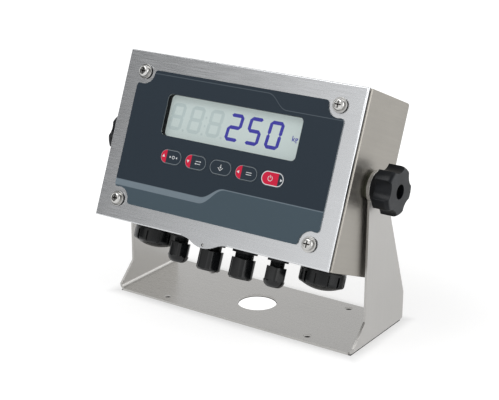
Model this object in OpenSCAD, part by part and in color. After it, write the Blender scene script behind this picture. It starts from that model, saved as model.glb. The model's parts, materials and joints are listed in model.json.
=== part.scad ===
// Weighing indicator: a sheet-metal box with a screwed front cover, tilting between the arms of a
// bent stand. The origin lies at the middle of the stand's underside, with the front towards -Y.
// Inside the box, x runs across, y is the depth behind the cover's face and z runs up that face.

/* [Box] */
// Width of the box and its cover
box_w = 241; // [220:1:262]
// Height of the box and its cover
box_h = 150.5; // [142:0.5:160]
// Depth from the cover's front face to the box's back
box_depth = 78.6; // [76:0.2:88]
// Sheet thickness of the box and its cover
box_t = 1.5; // [1.2:0.1:1.8]
// Outer radius of the bends between the back and the top and bottom
rear_bend_r = 4.6; // [3:0.2:7]
// Outer radius of the bends between the back and the sides
side_bend_r = 2; // [1.6:0.1:4]
// Outer radius of the bend at the box's mouth
mouth_bend_r = 2; // [1.9:0.1:2.6]
// Width of the lip that is turned in round the mouth
lip_w = 12; // [10:0.5:13]
// Radius of the corner gussets round the cover screws
gusset_r = 14; // [12:0.5:15]
// Backward tilt of the box at rest, in degrees
tilt_back = 22.4; // [0:0.2:45]

/* [Cover] */
// Depth of the cover's turned rim
rim_depth = 2.6; // [2:0.1:3.2]
// Radius along the cover's front edges
cover_edge_r = 1.3; // [0.6:0.1:1.6]
// Height of the dark joint between the cover's rim and the box
joint_gap = 3.2; // [2.6:0.1:4]
// Distance of the gasket's edge behind the cover's outline
gasket_inset = 2.2; // [2:0.1:3]
// Middle of the sealing tab, to the side of the cover's middle
tab_x = -1.5; // [-10:0.1:10]
// Half width of the sealing tab along the bottom edge
tab_half_w = 24; // [18:0.5:30]
// Drop of the sealing tab below the bottom edge
tab_drop = 6.3; // [5:0.1:8]
// Radius of the sealing hole
tab_hole_r = 0.9; // [0.7:0.1:1.2]
// Distance of the cover screws from the side edges
screw_inset_x = 21.5; // [19:0.5:24]
// Distance of the cover screws from the top and bottom edges
screw_inset_z = 18.1; // [16:0.1:20]
// Thread radius of the cover screws
screw_r = 2.5; // [2:0.1:3]
// Head radius of the cover screws
screw_head_r = 5; // [4.4:0.1:5.6]
// Head height of the cover screws
screw_head_h = 3.4; // [2.8:0.1:4]
// Radius of the washers under the cover screws
washer_r = 6.6; // [6:0.1:7.4]

/* [Overlay and keys] */
// Distance of the overlay from the side edges
overlay_inset_x = 15.2; // [14:0.1:18]
// Distance of the overlay from the top and bottom edges
overlay_inset_z = 15.4; // [14:0.1:17]
// Radius of the overlay's hollow corners, about the cover screws
notch_r = 10.7; // [9:0.1:12]
// Radius that rounds the overlay's points
overlay_r = 3; // [2:0.1:4]
// Thickness of the printed overlay
overlay_t = 0.6; // [0.5:0.05:0.8]
// Thickness of the membrane circuit under the overlay
circuit_t = 0.5; // [0.45:0.05:0.7]
// Width of a key
key_w = 22.2; // [19:0.1:24]
// Height of a key
key_h = 12.5; // [11:0.1:14]
// Distance from key to key
key_pitch = 26.1; // [25:0.1:28]
// Middle of the key row, below the cover's middle
key_row_drop = 12; // [10:0.5:20]
// Travel of a key
key_travel = 0.3; // [0.2:0.01:0.32]

/* [Display] */
// Width of the window
window_w = 138; // [120:1:142]
// Height of the window
window_h = 36.5; // [30:0.5:40]
// Middle of the window, above the cover's middle
window_rise = 23.7; // [22:0.1:26]
// Corner radius of the window
window_r = 4; // [2:0.5:6]
// Depth of the display glass behind the cover's face
display_depth = 5.4; // [3.5:0.1:6]
// Thickness of the display glass
glass_t = 2.2; // [1.8:0.1:3]
// Thickness of the backlight
backlight_t = 4; // [3:0.5:6]

/* [Boards] */
// Thickness of the circuit boards
board_t = 1.6; // [1.2:0.1:2]
// Width of the display board
display_board_w = 172; // [166:1:176]
// Height of the display board
display_board_h = 96; // [94:1:100]
// Width of the main board
main_board_w = 150; // [130:1:170]
// Height of the main board
main_board_h = 88; // [80:1:96]
// Length of the posts behind the main board
main_post_l = 9; // [6:0.5:12]

/* [Glands] */
// Distance from gland to gland
gland_pitch = 33.8; // [32:0.1:36]
// Depth of the gland row behind the cover's face
gland_depth = 40; // [34:0.5:44]
// Thread radius of the small glands
small_thread_r = 6.2; // [5.8:0.1:6.4]
// Thread radius of the large glands
large_thread_r = 8.2; // [7.6:0.1:8.4]
// Width over the flats of the small glands' flanges
small_flats = 18.2; // [17:0.1:20]
// Width over the flats of the large glands' flanges
large_flats = 22; // [21:0.1:24]
// Radius of the cable hole in the small gland seals
small_cable_r = 2.75; // [2:0.05:3.2]
// Radius of the cable hole in the large gland seals
large_cable_r = 4; // [3:0.05:4.4]
// Thickness of a gland's flange
gland_flange_t = 3.5; // [3:0.1:4.5]
// Bare neck between a gland's flange and its nut
gland_neck_l = 4.6; // [3:0.1:6]
// Height of a gland nut
gland_nut_h = 18; // [16:0.5:20]

/* [Ports] */
// Distance of each port from the box's side
port_inset_x = 32.2; // [28:0.1:36]
// Depth of the ports behind the cover's face
port_depth = 53; // [48:0.5:54]
// Radius of a port's flange and cap
port_r = 19.8; // [18:0.1:20.4]
// Thread radius of a port
port_thread_r = 15.5; // [14:0.1:16]
// Thickness of a port's flange
port_flange_t = 2; // [1.6:0.1:3]
// Height of a port cap
cap_h = 11.9; // [10:0.1:14]
// Number of grip grooves round a cap
cap_grooves = 12; // [8:1:16]

/* [Stand] */
// Depth of the stand's base
stand_d = 89.5; // [86:0.5:100]
// Sheet thickness of the stand
stand_t = 2; // [1.5:0.1:3]
// Outer radius of the stand's bends
stand_bend_r = 4.6; // [4:0.1:8]
// Clear space between the box and each arm
arm_gap = 3; // [2:0.1:5]
// Depth of an arm at its foot
arm_foot_d = 86; // [80:0.5:86]
// Height at which an arm's front edge turns upright
arm_front_h = 23.5; // [15:0.5:40]
// Height at which an arm's back edge turns forward
arm_back_h = 28; // [15:0.5:50]
// Reach of an arm's front edge ahead of the pivot
arm_front_reach = 10.6; // [8:0.1:13]
// Radius of an arm's round head
arm_head_r = 14; // [13:0.1:18]
// Radius of the pass hole in the base
pass_hole_r = 18; // [10:0.5:20]
// Radius of the fixing holes in the base
fix_hole_r = 3.5; // [2.5:0.1:5]
// Distance of the fixing holes across the base
fix_pitch_x = 150.8; // [120:0.2:200]
// Distance of the fixing holes from front to back
fix_pitch_y = 70.6; // [50:0.2:74]

/* [Pivot and knobs] */
// Height of the pivot above the surface
pivot_z = 140.5; // [130:0.5:170]
// Distance of the pivot ahead of the base's middle
pivot_ahead = 14.1; // [0:0.1:20]
// Depth of the pivot behind the cover's face
pivot_depth = 40.7; // [36:0.1:44]
// Radius of the pivot studs
stud_r = 4; // [3:0.1:5]
// Thickness of the washer under each knob
knob_washer_t = 1; // [0.6:0.1:2]
// Length of a knob's lobed body
knob_body_l = 15.3; // [12:0.1:20]
// Height of the round foot under the right knob's body
right_foot_l = 5.5; // [2:0.1:8]
// Height of the round foot under the left knob's body
left_foot_l = 0.5; // [0.4:0.1:8]
// Radius over a knob's lobes
knob_r = 21; // [19:0.1:24]
// Number of lobes on a knob
knob_lobes = 5; // [4:1:8]
// Least radius in the hollows between a knob's lobes
knob_hollow_r = 16.2; // [15:0.1:18]
// Radius of a knob's round foot
knob_foot_r = 14; // [12:0.1:15]
// Radius of the hole through a knob
knob_hole_r = 6.25; // [6:0.05:7]

/* [Hidden] */
$fn = 48;

// Overrun of a cut past the face that it opens
over = 1;
// Radial gap of a thread or a shaft in its hole
thread_gap = 0.05;
// Gap between flat faces that slide on each other
slide_gap = 0.05;
// Gap round a piece that drops into an opening
drop_gap = 0.3;

// Outline of the box
half_w = box_w / 2;
half_h = box_h / 2;
box_front = rim_depth + joint_gap;
box_back = box_depth;
inner_back = box_back - box_t;
floor_z = -half_h;
inner_floor_z = floor_z + box_t;

// Distance of the sealing hole's middle from the tab's lower edge
tab_hole_edge = 2.8;

// Cover screws
screw_x = half_w - screw_inset_x;
screw_z = half_h - screw_inset_z;
screw_hole_r = screw_r + drop_gap;
washer_t = 1.2;
washer_seal_t = 1.1;
washer_seal_r = washer_r - drop_gap;
head_depth = washer_t + washer_seal_t;
nut_t = 4;
nut_flats = 8;
cross_w = 1.1;
cross_l = 6;
cross_depth = 1.8;
head_dome_r = 2.2;

// Overlay, membrane and keys
overlay_half_w = half_w - overlay_inset_x;
overlay_half_h = half_h - overlay_inset_z;
overlay_face = circuit_t + overlay_t;
key_t = 0.4;
key_proud = 0.15;
dome_r = 4.2;
dome_pocket_r = 4.6;
dome_pocket_depth = 0.4;
dome_t = 0.12;
dome_rise = 0.2;
key_z = -key_row_drop;

// Window and display
collar_margin = 3.2;
collar_w = window_w + 2 * collar_margin;
collar_h = window_h + 2 * collar_margin;
frame_margin = 6;
display_frame_w = window_w + 2 * frame_margin;
display_frame_h = window_h + 2 * frame_margin;
glass_margin = 5;
display_back = display_depth + glass_t + backlight_t;

// Boards
post_flats = 5.5;
board_screw_r = 1.5;
board_hole_r = 1.75;
board_screw_l = 6;
board_head_r = 2.8;
board_head_h = 2.2;
board_edge = 6;
display_board_back = display_back + board_t;
display_post_x = display_board_w / 2 - board_edge;
display_post_z = display_board_h / 2 - board_edge;
main_board_back = inner_back - main_post_l;
main_board_front = main_board_back - board_t;
main_board_z = 10;
main_post_x = main_board_w / 2 - board_edge;
main_post_z = main_board_h / 2 - board_edge;
module_size = [62, 18, 38];
module_at = [-32, 26];
terminal_size = [30, 12, 10];
terminal_pitch = 38;
terminal_rise = 8;
header_size = [32, 8, 6];
header_x = 30;
header_rise = 12;
ribbon_w = 26;
ribbon_t = 1;
ribbon_sag = 9;

// Glands
gland_stem_l = 7;
locknut_t = 3.4;
locknut_rim = 3;
ring_t = 1.2;
ring_w = 1.6;
gland_wall = 1.3;
gland_nut_ease = 1;
gland_nut_corner = 0.7;
gland_crown_t = 2.4;
gland_dome_h = 6.5;
gland_chamfer = 2;
gland_top_chamfer = 0.6;
gland_seal_l = 11;
gland_nut_top = floor_z - gland_flange_t - gland_neck_l;
gland_nut_end = gland_nut_top - gland_nut_h;

// Ports
port_x = half_w - port_inset_x;
port_gap = 0.6;
port_wall = 2.4;
port_stem_l = 9;
port_socket_l = 14;
cap_floor_t = 2.4;
cap_edge_r = 3;
cap_rim_h = 2;
groove_w = 2.2;
groove_depth = 1.5;
// Turn of a cap's first grip groove, in degrees
cap_turn = 13;
cap_seal_t = 1.4;
cap_seal_w = 4;
port_flange_z = floor_z - port_flange_t;
cap_top_z = port_flange_z - port_gap;
cap_end_z = cap_top_z - cap_h;
cap_floor_z = cap_end_z + cap_floor_t;
cap_seal_z = cap_floor_z + slide_gap;
cap_seal_top_z = cap_seal_z + cap_seal_t;
port_end_z = cap_seal_top_z + slide_gap;
socket_w = 15;
socket_h = 12;
socket_depth = 9;

// Stand
stand_half_w = half_w + arm_gap + stand_t;
arm_inner_x = stand_half_w - stand_t;
arm_toe_rise = 1;
arm_toe_h = stand_bend_r + arm_toe_rise;
pivot_y = -pivot_ahead;
stud_hole_r = stud_r + thread_gap;

// Pivot and knobs
stud_head_r = 9;
stud_head_t = 2;
stud_reach = 12.5;
stud_end_x = stand_half_w + stud_reach;
spacer_r = 12.4;
knob_washer_x = stand_half_w + slide_gap;
knob_foot_x = knob_washer_x + knob_washer_t + slide_gap;
knob_edge_r = 4.2;
knob_face_r = 18.4;
hollow_arc_r = 12;
insert_l = 12;
knob_body_lap = 1;
// Turn of each knob's first lobe from the depth direction, in degrees
right_knob_turn = 6.4;
left_knob_turn = 28;
hex_corner = 1 / cos(30);

// Points along an arc about c, from angle a0 to a1 in n steps
function arc(c, r, a0, a1, n) = [
    for (i = [0:n])
        let (a = a0 + (a1 - a0) * i / n)
        c + r * [cos(a), sin(a)]
];
function reversed(list) = [for (i = [len(list) - 1:-1:0]) list[i]];
function flipped(list, sx, sy) = [for (p = list) [sx * p.x, sy * p.y]];

// Carries its children from the box's own frame to the tilted box
module in_box() {
    translate([0, pivot_y, pivot_z])
        rotate([-tilt_back, 0, 0])
            translate([0, -pivot_depth, 0])
                children();
}

// Extrudes an x-z outline from depth y0 to depth y1
module across(y0, y1) {
    translate([0, y1, 0])
        rotate([90, 0, 0])
            linear_extrude(y1 - y0)
                children();
}

// Rectangle with round corners about the origin
module round_rect(w, h, r) {
    square([w - 2 * r, h], center = true);
    square([w, h - 2 * r], center = true);
    for (sx = [-1, 1], sy = [-1, 1])
        translate([sx * (w / 2 - r), sy * (h / 2 - r)])
            circle(r);
}

// Outline from a0 to a1, half height b, with radius r0 at its start and r1 at its end
module bent_outline(a0, a1, b, r0, r1) {
    translate([a0 + r0, -b])
        square([a1 - a0 - r0 - r1, 2 * b]);
    translate([a0, -b + r0])
        square([r0 + over, 2 * (b - r0)]);
    translate([a1 - r1 - over, -b + r1])
        square([r1 + over, 2 * (b - r1)]);
    for (s = [-1, 1]) {
        if (r0 > 0)
            translate([a0 + r0, s * (b - r0)])
                circle(r0);
        if (r1 > 0)
            translate([a1 - r1, s * (b - r1)])
                circle(r1);
    }
}

// Block of the cover's width and height less g all round, with bends of radius r0 in front, and
// r1 behind at the top and bottom and r2 behind at the sides
module bent_block(y0, y1, g, r0, r1, r2) {
    intersection() {
        rotate([90, 0, 90])
            linear_extrude(box_w, center = true)
                bent_outline(y0, y1, half_h - g, r0, r1);
        rotate([0, 0, 90])
            linear_extrude(box_h, center = true)
                bent_outline(y0, y1, half_w - g, r0, r2);
    }
}

module at_screws() {
    for (sx = [-1, 1], sz = [-1, 1])
        translate([sx * screw_x, 0, sz * screw_z])
            children();
}

// The same on a flat outline, where its children may be drawn for the upper right corner
module at_screws_flat() {
    for (mx = [0, 1], mz = [0, 1])
        mirror([mx, 0])
            mirror([0, mz])
                translate([screw_x, screw_z])
                    children();
}

// Mouth of the box inside the lip, with a gusset left in each corner round the cover screw
module mouth_outline() {
    difference() {
        square([box_w - 2 * lip_w, box_h - 2 * lip_w], center = true);
        at_screws_flat() {
            circle(gusset_r);
            translate([0, -gusset_r])
                square([screw_inset_x, gusset_r + screw_inset_z]);
            translate([-gusset_r, 0])
                square([gusset_r + screw_inset_x, screw_inset_z]);
        }
    }
}

// Ring or rod about the z axis from z0 to z1
module tube(r, bore, z0, z1) {
    difference() {
        translate([0, 0, z0])
            cylinder(h = z1 - z0, r = r);
        if (bore > 0)
            translate([0, 0, z0 - over])
                cylinder(h = z1 - z0 + 2 * over, r = bore);
    }
}

module hex_prism(flats, z0, z1) {
    translate([0, 0, z0])
        cylinder(h = z1 - z0, r = flats / 2 * hex_corner, $fn = 6);
}

// Turns the z axis so that it points away from the box on side s
module outward(s) {
    rotate([0, s * 90, 0])
        children();
}

// Stand
module arm_outline() {
    back = [arm_foot_d / 2, arm_back_h];
    head = [pivot_y, pivot_z];
    away = back - head;
    tangent_angle = atan2(away.y, away.x) + acos(arm_head_r / norm(away));
    tangent = head + arm_head_r * [cos(tangent_angle), sin(tangent_angle)];
    polygon([
        [-arm_foot_d / 2, stand_bend_r],
        [-arm_foot_d / 2, arm_toe_h],
        [pivot_y - arm_front_reach, arm_front_h],
        [pivot_y - arm_front_reach, pivot_z],
        head,
        tangent,
        back,
        [arm_foot_d / 2, stand_bend_r]
    ]);
    translate(head)
        circle(arm_head_r);
}

module stand_arm() {
    difference() {
        translate([arm_inner_x, 0, 0])
            rotate([90, 0, 90])
                linear_extrude(stand_t)
                    arm_outline();
        translate([arm_inner_x - over, pivot_y, pivot_z])
            rotate([0, 90, 0])
                cylinder(h = stand_t + 2 * over, r = stud_hole_r);
    }
    translate([stand_half_w - stand_bend_r, 0, stand_bend_r])
        rotate([90, 0, 0])
            linear_extrude(arm_foot_d, center = true)
                intersection() {
                    difference() {
                        circle(stand_bend_r);
                        circle(stand_bend_r - stand_t);
                    }
                    translate([0, -stand_bend_r])
                        square(stand_bend_r);
                }
}

module stand_bracket() {
    base_w = 2 * (stand_half_w - stand_bend_r);
    color([0.72, 0.72, 0.71]) {
        difference() {
            translate([-base_w / 2, -stand_d / 2, 0])
                cube([base_w, stand_d, stand_t]);
            translate([0, 0, -over]) {
                cylinder(h = stand_t + 2 * over, r = pass_hole_r);
                for (sx = [-1, 1], sy = [-1, 1])
                    translate([sx * fix_pitch_x / 2, sy * fix_pitch_y / 2, 0])
                        cylinder(h = stand_t + 2 * over, r = fix_hole_r);
            }
        }
        stand_arm();
        mirror([1, 0, 0])
            stand_arm();
    }
}

// Box
module box_shell() {
    color([0.67, 0.65, 0.62])
        in_box()
            difference() {
                bent_block(box_front, box_back, 0, mouth_bend_r, rear_bend_r, side_bend_r);
                bent_block(box_front + box_t, inner_back, box_t,
                    mouth_bend_r - box_t, rear_bend_r - box_t, side_bend_r - box_t);
                across(box_front - over, box_front + box_t + over)
                    mouth_outline();
                across(box_front - over, box_front + box_t + over)
                    at_screws_flat()
                        circle(screw_hole_r);
                translate([0, pivot_depth, 0])
                    rotate([0, 90, 0])
                        cylinder(h = box_w + 2 * over, r = stud_hole_r, center = true);
                for (i = [0:3])
                    translate([gland_x(i), gland_depth, floor_z - over])
                        cylinder(h = box_t + 2 * over, r = gland_thread_r(i) + thread_gap);
                for (s = [-1, 1])
                    translate([s * port_x, port_depth, floor_z - over])
                        cylinder(h = box_t + 2 * over, r = port_thread_r + thread_gap);
            }
}

// Cover
module tab_outline() {
    run = tab_half_w / 2;
    fall = tab_drop / 2;
    r = (run * run + fall * fall) / (2 * fall);
    turn = asin(run / r);
    polygon(concat(
        [[-tab_half_w, floor_z + cover_edge_r]],
        arc([-tab_half_w, floor_z - r], r, 90, 90 - turn, 6),
        arc([0, floor_z - tab_drop + r], r, 270 - turn, 270 + turn, 12),
        arc([tab_half_w, floor_z - r], r, 90 + turn, 90, 6),
        [[tab_half_w, floor_z + cover_edge_r]]
    ));
}

module front_cover() {
    color([0.74, 0.75, 0.76])
        in_box()
            difference() {
                union() {
                    bent_block(0, rim_depth, 0, cover_edge_r, 0, 0);
                    across(0, box_t)
                        translate([tab_x, 0])
                            tab_outline();
                }
                across(box_t, rim_depth + over)
                    square([box_w - 2 * box_t, box_h - 2 * box_t], center = true);
                across(-over, box_t + over) {
                    translate([0, window_rise])
                        square([collar_w + 2 * drop_gap, collar_h + 2 * drop_gap], center = true);
                    at_screws_flat()
                        circle(screw_hole_r);
                    translate([tab_x, floor_z - tab_drop + tab_hole_edge])
                        circle(tab_hole_r);
                }
            }
}

module cover_gasket() {
    color([0.12, 0.12, 0.12])
        in_box()
            across(box_t, box_front)
                difference() {
                    square([box_w - 2 * gasket_inset, box_h - 2 * gasket_inset], center = true);
                    mouth_outline();
                    at_screws_flat()
                        circle(screw_hole_r);
                }
}

// Cover screw about the z axis, its head upwards and its bearing face at z = 0
module pan_screw(r, head_r, head_h, dome_r, l) {
    rotate_extrude()
        polygon(concat(
            [[0, 0], [head_r, 0], [head_r, head_h - dome_r]],
            arc([head_r - dome_r, head_h - dome_r], dome_r, 0, 90, 6),
            [[0, head_h]]
        ));
    translate([0, 0, -l])
        cylinder(h = l, r = r);
}

module cover_screws() {
    color([0.80, 0.80, 0.78])
        in_box()
            at_screws()
                translate([0, -head_depth, 0])
                    rotate([90, 0, 0])
                        difference() {
                            pan_screw(screw_r, screw_head_r, screw_head_h, head_dome_r,
                                head_depth + box_front + box_t + nut_t);
                            for (a = [0, 90])
                                rotate([0, 0, a])
                                    translate([-cross_l / 2, -cross_w / 2,
                                        screw_head_h - cross_depth])
                                        cube([cross_l, cross_w, cross_depth + over]);
                        }
}

module cover_washers() {
    color([0.78, 0.78, 0.77])
        in_box()
            across(-head_depth, -washer_seal_t)
                at_screws_flat()
                    difference() {
                        circle(washer_r);
                        circle(screw_hole_r);
                    }
}

module washer_seals() {
    color([0.08, 0.08, 0.08])
        in_box()
            across(-washer_seal_t, 0)
                at_screws_flat()
                    difference() {
                        circle(washer_seal_r);
                        circle(screw_hole_r);
                    }
}

module cover_nuts() {
    color([0.75, 0.75, 0.74])
        in_box()
            across(box_front + box_t, box_front + box_t + nut_t)
                at_screws_flat()
                    difference() {
                        circle(nut_flats / 2 * hex_corner, $fn = 6);
                        circle(screw_r + thread_gap);
                    }
}

// Overlay, membrane and keys
module overlay_outline() {
    c = [screw_x, screw_z];
    reach = notch_r + overlay_r;
    top = overlay_half_h - overlay_r;
    side = overlay_half_w - overlay_r;
    f1 = [c.x - sqrt(reach * reach - (top - c.y) * (top - c.y)), top];
    f2 = [side, c.y - sqrt(reach * reach - (side - c.x) * (side - c.x))];
    a1 = atan2(c.y - f1.y, c.x - f1.x);
    a2 = atan2(c.y - f2.y, c.x - f2.x);
    corner = concat(
        arc(f1, overlay_r, 90, a1, 5),
        arc(c, notch_r, a1 + 180, a2 + 180, 9),
        arc(f2, overlay_r, a2, 0, 5)
    );
    polygon(concat(
        corner,
        flipped(reversed(corner), 1, -1),
        flipped(corner, -1, -1),
        flipped(reversed(corner), -1, 1)
    ));
}

module window_outline() {
    translate([0, window_rise])
        round_rect(window_w, window_h, window_r);
}

module key_outline(g) {
    h = key_h + 2 * g;
    square([key_w - key_h, h], center = true);
    for (s = [-1, 1])
        translate([s * (key_w - key_h) / 2, 0])
            circle(h / 2);
}

function key_x(i) = (i - 2) * key_pitch;

module overlay() {
    color([0.19, 0.23, 0.27])
        in_box()
            across(-overlay_face, -circuit_t)
                difference() {
                    overlay_outline();
                    window_outline();
                    for (i = [0:4])
                        translate([key_x(i), key_z])
                            key_outline(drop_gap);
                }
}

module membrane_circuit() {
    color([0.55, 0.58, 0.60])
        in_box()
            difference() {
                across(-circuit_t, 0)
                    difference() {
                        overlay_outline();
                        window_outline();
                    }
                across(-circuit_t - over, -circuit_t + dome_pocket_depth)
                    for (i = [0:4])
                        translate([key_x(i), key_z])
                            circle(dome_pocket_r);
            }
}

module snap_domes() {
    color([0.80, 0.80, 0.78])
        in_box()
            for (i = [0:4])
                translate([key_x(i), dome_pocket_depth - circuit_t, key_z])
                    rotate([90, 0, 0])
                        rotate_extrude()
                            polygon([
                                [0, dome_rise],
                                [dome_r / 2, dome_rise],
                                [dome_r, 0],
                                [dome_r, dome_t],
                                [dome_r / 2, dome_rise + dome_t],
                                [0, dome_rise + dome_t]
                            ]);
}

module membrane_key(i, shade) {
    color(shade)
        in_box()
            across(-overlay_face - key_proud, -overlay_face - key_proud + key_t)
                translate([key_x(i), key_z])
                    key_outline(0);
}

module key_up() { membrane_key(0, [0.22, 0.26, 0.30]); }
module key_down() { membrane_key(1, [0.22, 0.26, 0.30]); }
module key_plain() { membrane_key(2, [0.22, 0.26, 0.30]); }
module key_left() { membrane_key(3, [0.22, 0.26, 0.30]); }
module key_power() { membrane_key(4, [0.85, 0.10, 0.20]); }

// Window and display
module window_lens() {
    color([0.85, 0.90, 0.90, 0.4])
        in_box()
            across(0, box_t)
                window_outline();
}

// Frame behind the cover, with a collar that fills the cover's cut-out round the lens
module display_frame() {
    color([0.06, 0.06, 0.07])
        in_box()
            difference() {
                union() {
                    across(box_t, display_depth)
                        translate([0, window_rise])
                            square([display_frame_w, display_frame_h], center = true);
                    across(0, display_depth)
                        translate([0, window_rise])
                            square([collar_w, collar_h], center = true);
                }
                across(-over, display_depth + over)
                    window_outline();
            }
}

module display_glass() {
    color([0.76, 0.81, 0.80])
        in_box()
            across(display_depth, display_depth + glass_t)
                translate([0, window_rise])
                    square([window_w + 2 * glass_margin, window_h + 2 * glass_margin],
                        center = true);
}

module backlight() {
    color([0.90, 0.92, 0.90])
        in_box()
            across(display_depth + glass_t, display_back)
                translate([0, window_rise])
                    square([display_frame_w, display_frame_h], center = true);
}

// Boards
module at_display_posts() {
    for (sx = [-1, 1], sz = [-1, 1])
        translate([sx * display_post_x, sz * display_post_z])
            children();
}

module at_main_posts() {
    for (sx = [-1, 1], sz = [-1, 1])
        translate([sx * main_post_x, main_board_z + sz * main_post_z])
            children();
}

module display_board() {
    color([0.10, 0.35, 0.20])
        in_box()
            across(display_back, display_board_back)
                difference() {
                    square([display_board_w, display_board_h], center = true);
                    at_display_posts()
                        circle(board_hole_r);
                }
}

module display_posts() {
    color([0.75, 0.75, 0.74])
        in_box()
            across(box_t, display_back)
                at_display_posts()
                    difference() {
                        circle(post_flats / 2 * hex_corner, $fn = 6);
                        circle(board_screw_r + thread_gap);
                    }
}

module board_screws() {
    color([0.78, 0.78, 0.76])
        in_box() {
            across(display_board_back - board_t - board_screw_l, display_board_back)
                at_display_posts()
                    circle(board_screw_r);
            across(display_board_back, display_board_back + board_head_h)
                at_display_posts()
                    circle(board_head_r);
            across(main_board_front, main_board_back + board_screw_l)
                at_main_posts()
                    circle(board_screw_r);
            across(main_board_front - board_head_h, main_board_front)
                at_main_posts()
                    circle(board_head_r);
        }
}

module main_board() {
    color([0.10, 0.35, 0.20])
        in_box()
            across(main_board_front, main_board_back)
                difference() {
                    translate([0, main_board_z])
                        square([main_board_w, main_board_h], center = true);
                    at_main_posts()
                        circle(board_hole_r);
                }
}

module main_posts() {
    color([0.75, 0.75, 0.74])
        in_box()
            across(main_board_back, inner_back)
                at_main_posts()
                    difference() {
                        circle(post_flats / 2 * hex_corner, $fn = 6);
                        circle(board_screw_r + thread_gap);
                    }
}

module power_module() {
    color([0.15, 0.15, 0.16])
        in_box()
            across(main_board_front - module_size.y, main_board_front)
                translate(module_at)
                    square([module_size.x, module_size.z], center = true);
}

module terminal_blocks() {
    color([0.20, 0.45, 0.25])
        in_box()
            across(main_board_front - terminal_size.y, main_board_front)
                for (i = [-1:1])
                    translate([i * terminal_pitch,
                        main_board_z - main_board_h / 2 + terminal_rise])
                        square([terminal_size.x, terminal_size.z], center = true);
}

module ribbon_headers() {
    color([0.12, 0.12, 0.13])
        in_box() {
            across(display_board_back, display_board_back + header_size.y)
                translate([header_x, header_rise])
                    square([header_size.x, header_size.z], center = true);
            across(main_board_front - header_size.y, main_board_front)
                translate([header_x, header_rise])
                    square([header_size.x, header_size.z], center = true);
        }
}

// A flat cable that hangs in a shallow bow between its two headers
module ribbon_cable() {
    y0 = display_board_back + header_size.y;
    y1 = main_board_front - header_size.y;
    span = y1 - y0;
    steps = 10;
    bow = [for (i = [0:steps]) [y0 + span * i / steps, -ribbon_sag * sin(180 * i / steps)]];
    color([0.60, 0.62, 0.64])
        in_box()
            translate([header_x, 0, header_rise])
                rotate([90, 0, 90])
                    linear_extrude(ribbon_w, center = true)
                        polygon(concat(bow, [for (p = reversed(bow)) p + [0, ribbon_t]]));
}

// Glands, numbered from the left, small at both ends of the row and large between
function gland_x(i) = (i - 1.5) * gland_pitch;
function gland_is_large(i) = i == 1 || i == 2;
function gland_thread_r(i) = gland_is_large(i) ? large_thread_r : small_thread_r;
function gland_flats(i) = gland_is_large(i) ? large_flats : small_flats;
function gland_cable_r(i) = gland_is_large(i) ? large_cable_r : small_cable_r;
function gland_bore_r(i) = gland_thread_r(i) - gland_wall;

module at_gland(i) {
    in_box()
        translate([gland_x(i), gland_depth, 0])
            children();
}

// Groove for a sealing ring in the top of a flange, round a thread of radius r
module ring_groove(r) {
    difference() {
        translate([0, 0, floor_z - ring_t])
            cylinder(h = ring_t + over, r = r + ring_w);
        translate([0, 0, floor_z - ring_t - over])
            cylinder(h = ring_t + over + 2 * over, r = r);
    }
}

module gland_body(i) {
    neck_end = gland_nut_end + gland_crown_t + gland_dome_h;
    color([0.10, 0.11, 0.12])
        at_gland(i)
            difference() {
                union() {
                    hex_prism(gland_flats(i), floor_z - gland_flange_t, floor_z);
                    tube(gland_thread_r(i), 0, neck_end, inner_floor_z + gland_stem_l);
                }
                translate([0, 0, neck_end - over])
                    cylinder(h = inner_floor_z + gland_stem_l - neck_end + 2 * over,
                        r = gland_bore_r(i));
                ring_groove(gland_thread_r(i));
            }
}

// Nut with its corners turned off: over a round dome on the small glands, chamfered on the large
module gland_nut(i) {
    flats = gland_flats(i) - gland_nut_ease;
    r = flats / 2 + gland_nut_corner;
    color([0.12, 0.13, 0.14])
        at_gland(i)
            difference() {
                intersection() {
                    union() {
                        hex_prism(flats, gland_nut_end, gland_nut_top);
                        if (!gland_is_large(i))
                            tube(r, 0, gland_nut_end, gland_nut_end + gland_dome_h);
                    }
                    rotate_extrude()
                        polygon(concat(
                            [[0, gland_nut_end]],
                            gland_is_large(i)
                                ? [[r - gland_chamfer, gland_nut_end],
                                    [r, gland_nut_end + gland_chamfer]]
                                : arc([r - gland_dome_h, gland_nut_end + gland_dome_h],
                                    gland_dome_h, 270, 360, 8),
                            [[r, gland_nut_top - gland_top_chamfer],
                                [r - gland_top_chamfer, gland_nut_top],
                                [0, gland_nut_top]]
                        ));
                }
                translate([0, 0, gland_nut_end + gland_crown_t])
                    cylinder(h = gland_nut_h, r = gland_thread_r(i) + thread_gap);
                translate([0, 0, gland_nut_end - over])
                    cylinder(h = gland_nut_h, r = gland_bore_r(i));
            }
}

module gland_body_1() { gland_body(0); }
module gland_body_2() { gland_body(1); }
module gland_body_3() { gland_body(2); }
module gland_body_4() { gland_body(3); }
module gland_nut_1() { gland_nut(0); }
module gland_nut_2() { gland_nut(1); }
module gland_nut_3() { gland_nut(2); }
module gland_nut_4() { gland_nut(3); }

module gland_seals() {
    seal_end = gland_nut_end + gland_crown_t;
    color([0.06, 0.06, 0.06])
        for (i = [0:3])
            at_gland(i)
                tube(gland_bore_r(i), gland_cable_r(i), seal_end, seal_end + gland_seal_l);
}

// Sealing rings in the grooves of the gland and port flanges
module sealing_ring(r) {
    tube(r + ring_w - thread_gap, r + thread_gap, floor_z - ring_t, floor_z);
}

module sealing_rings() {
    color([0.06, 0.06, 0.06]) {
        for (i = [0:3])
            at_gland(i)
                sealing_ring(gland_thread_r(i));
        for (s = [-1, 1])
            at_port(s)
                sealing_ring(port_thread_r);
    }
}

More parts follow.
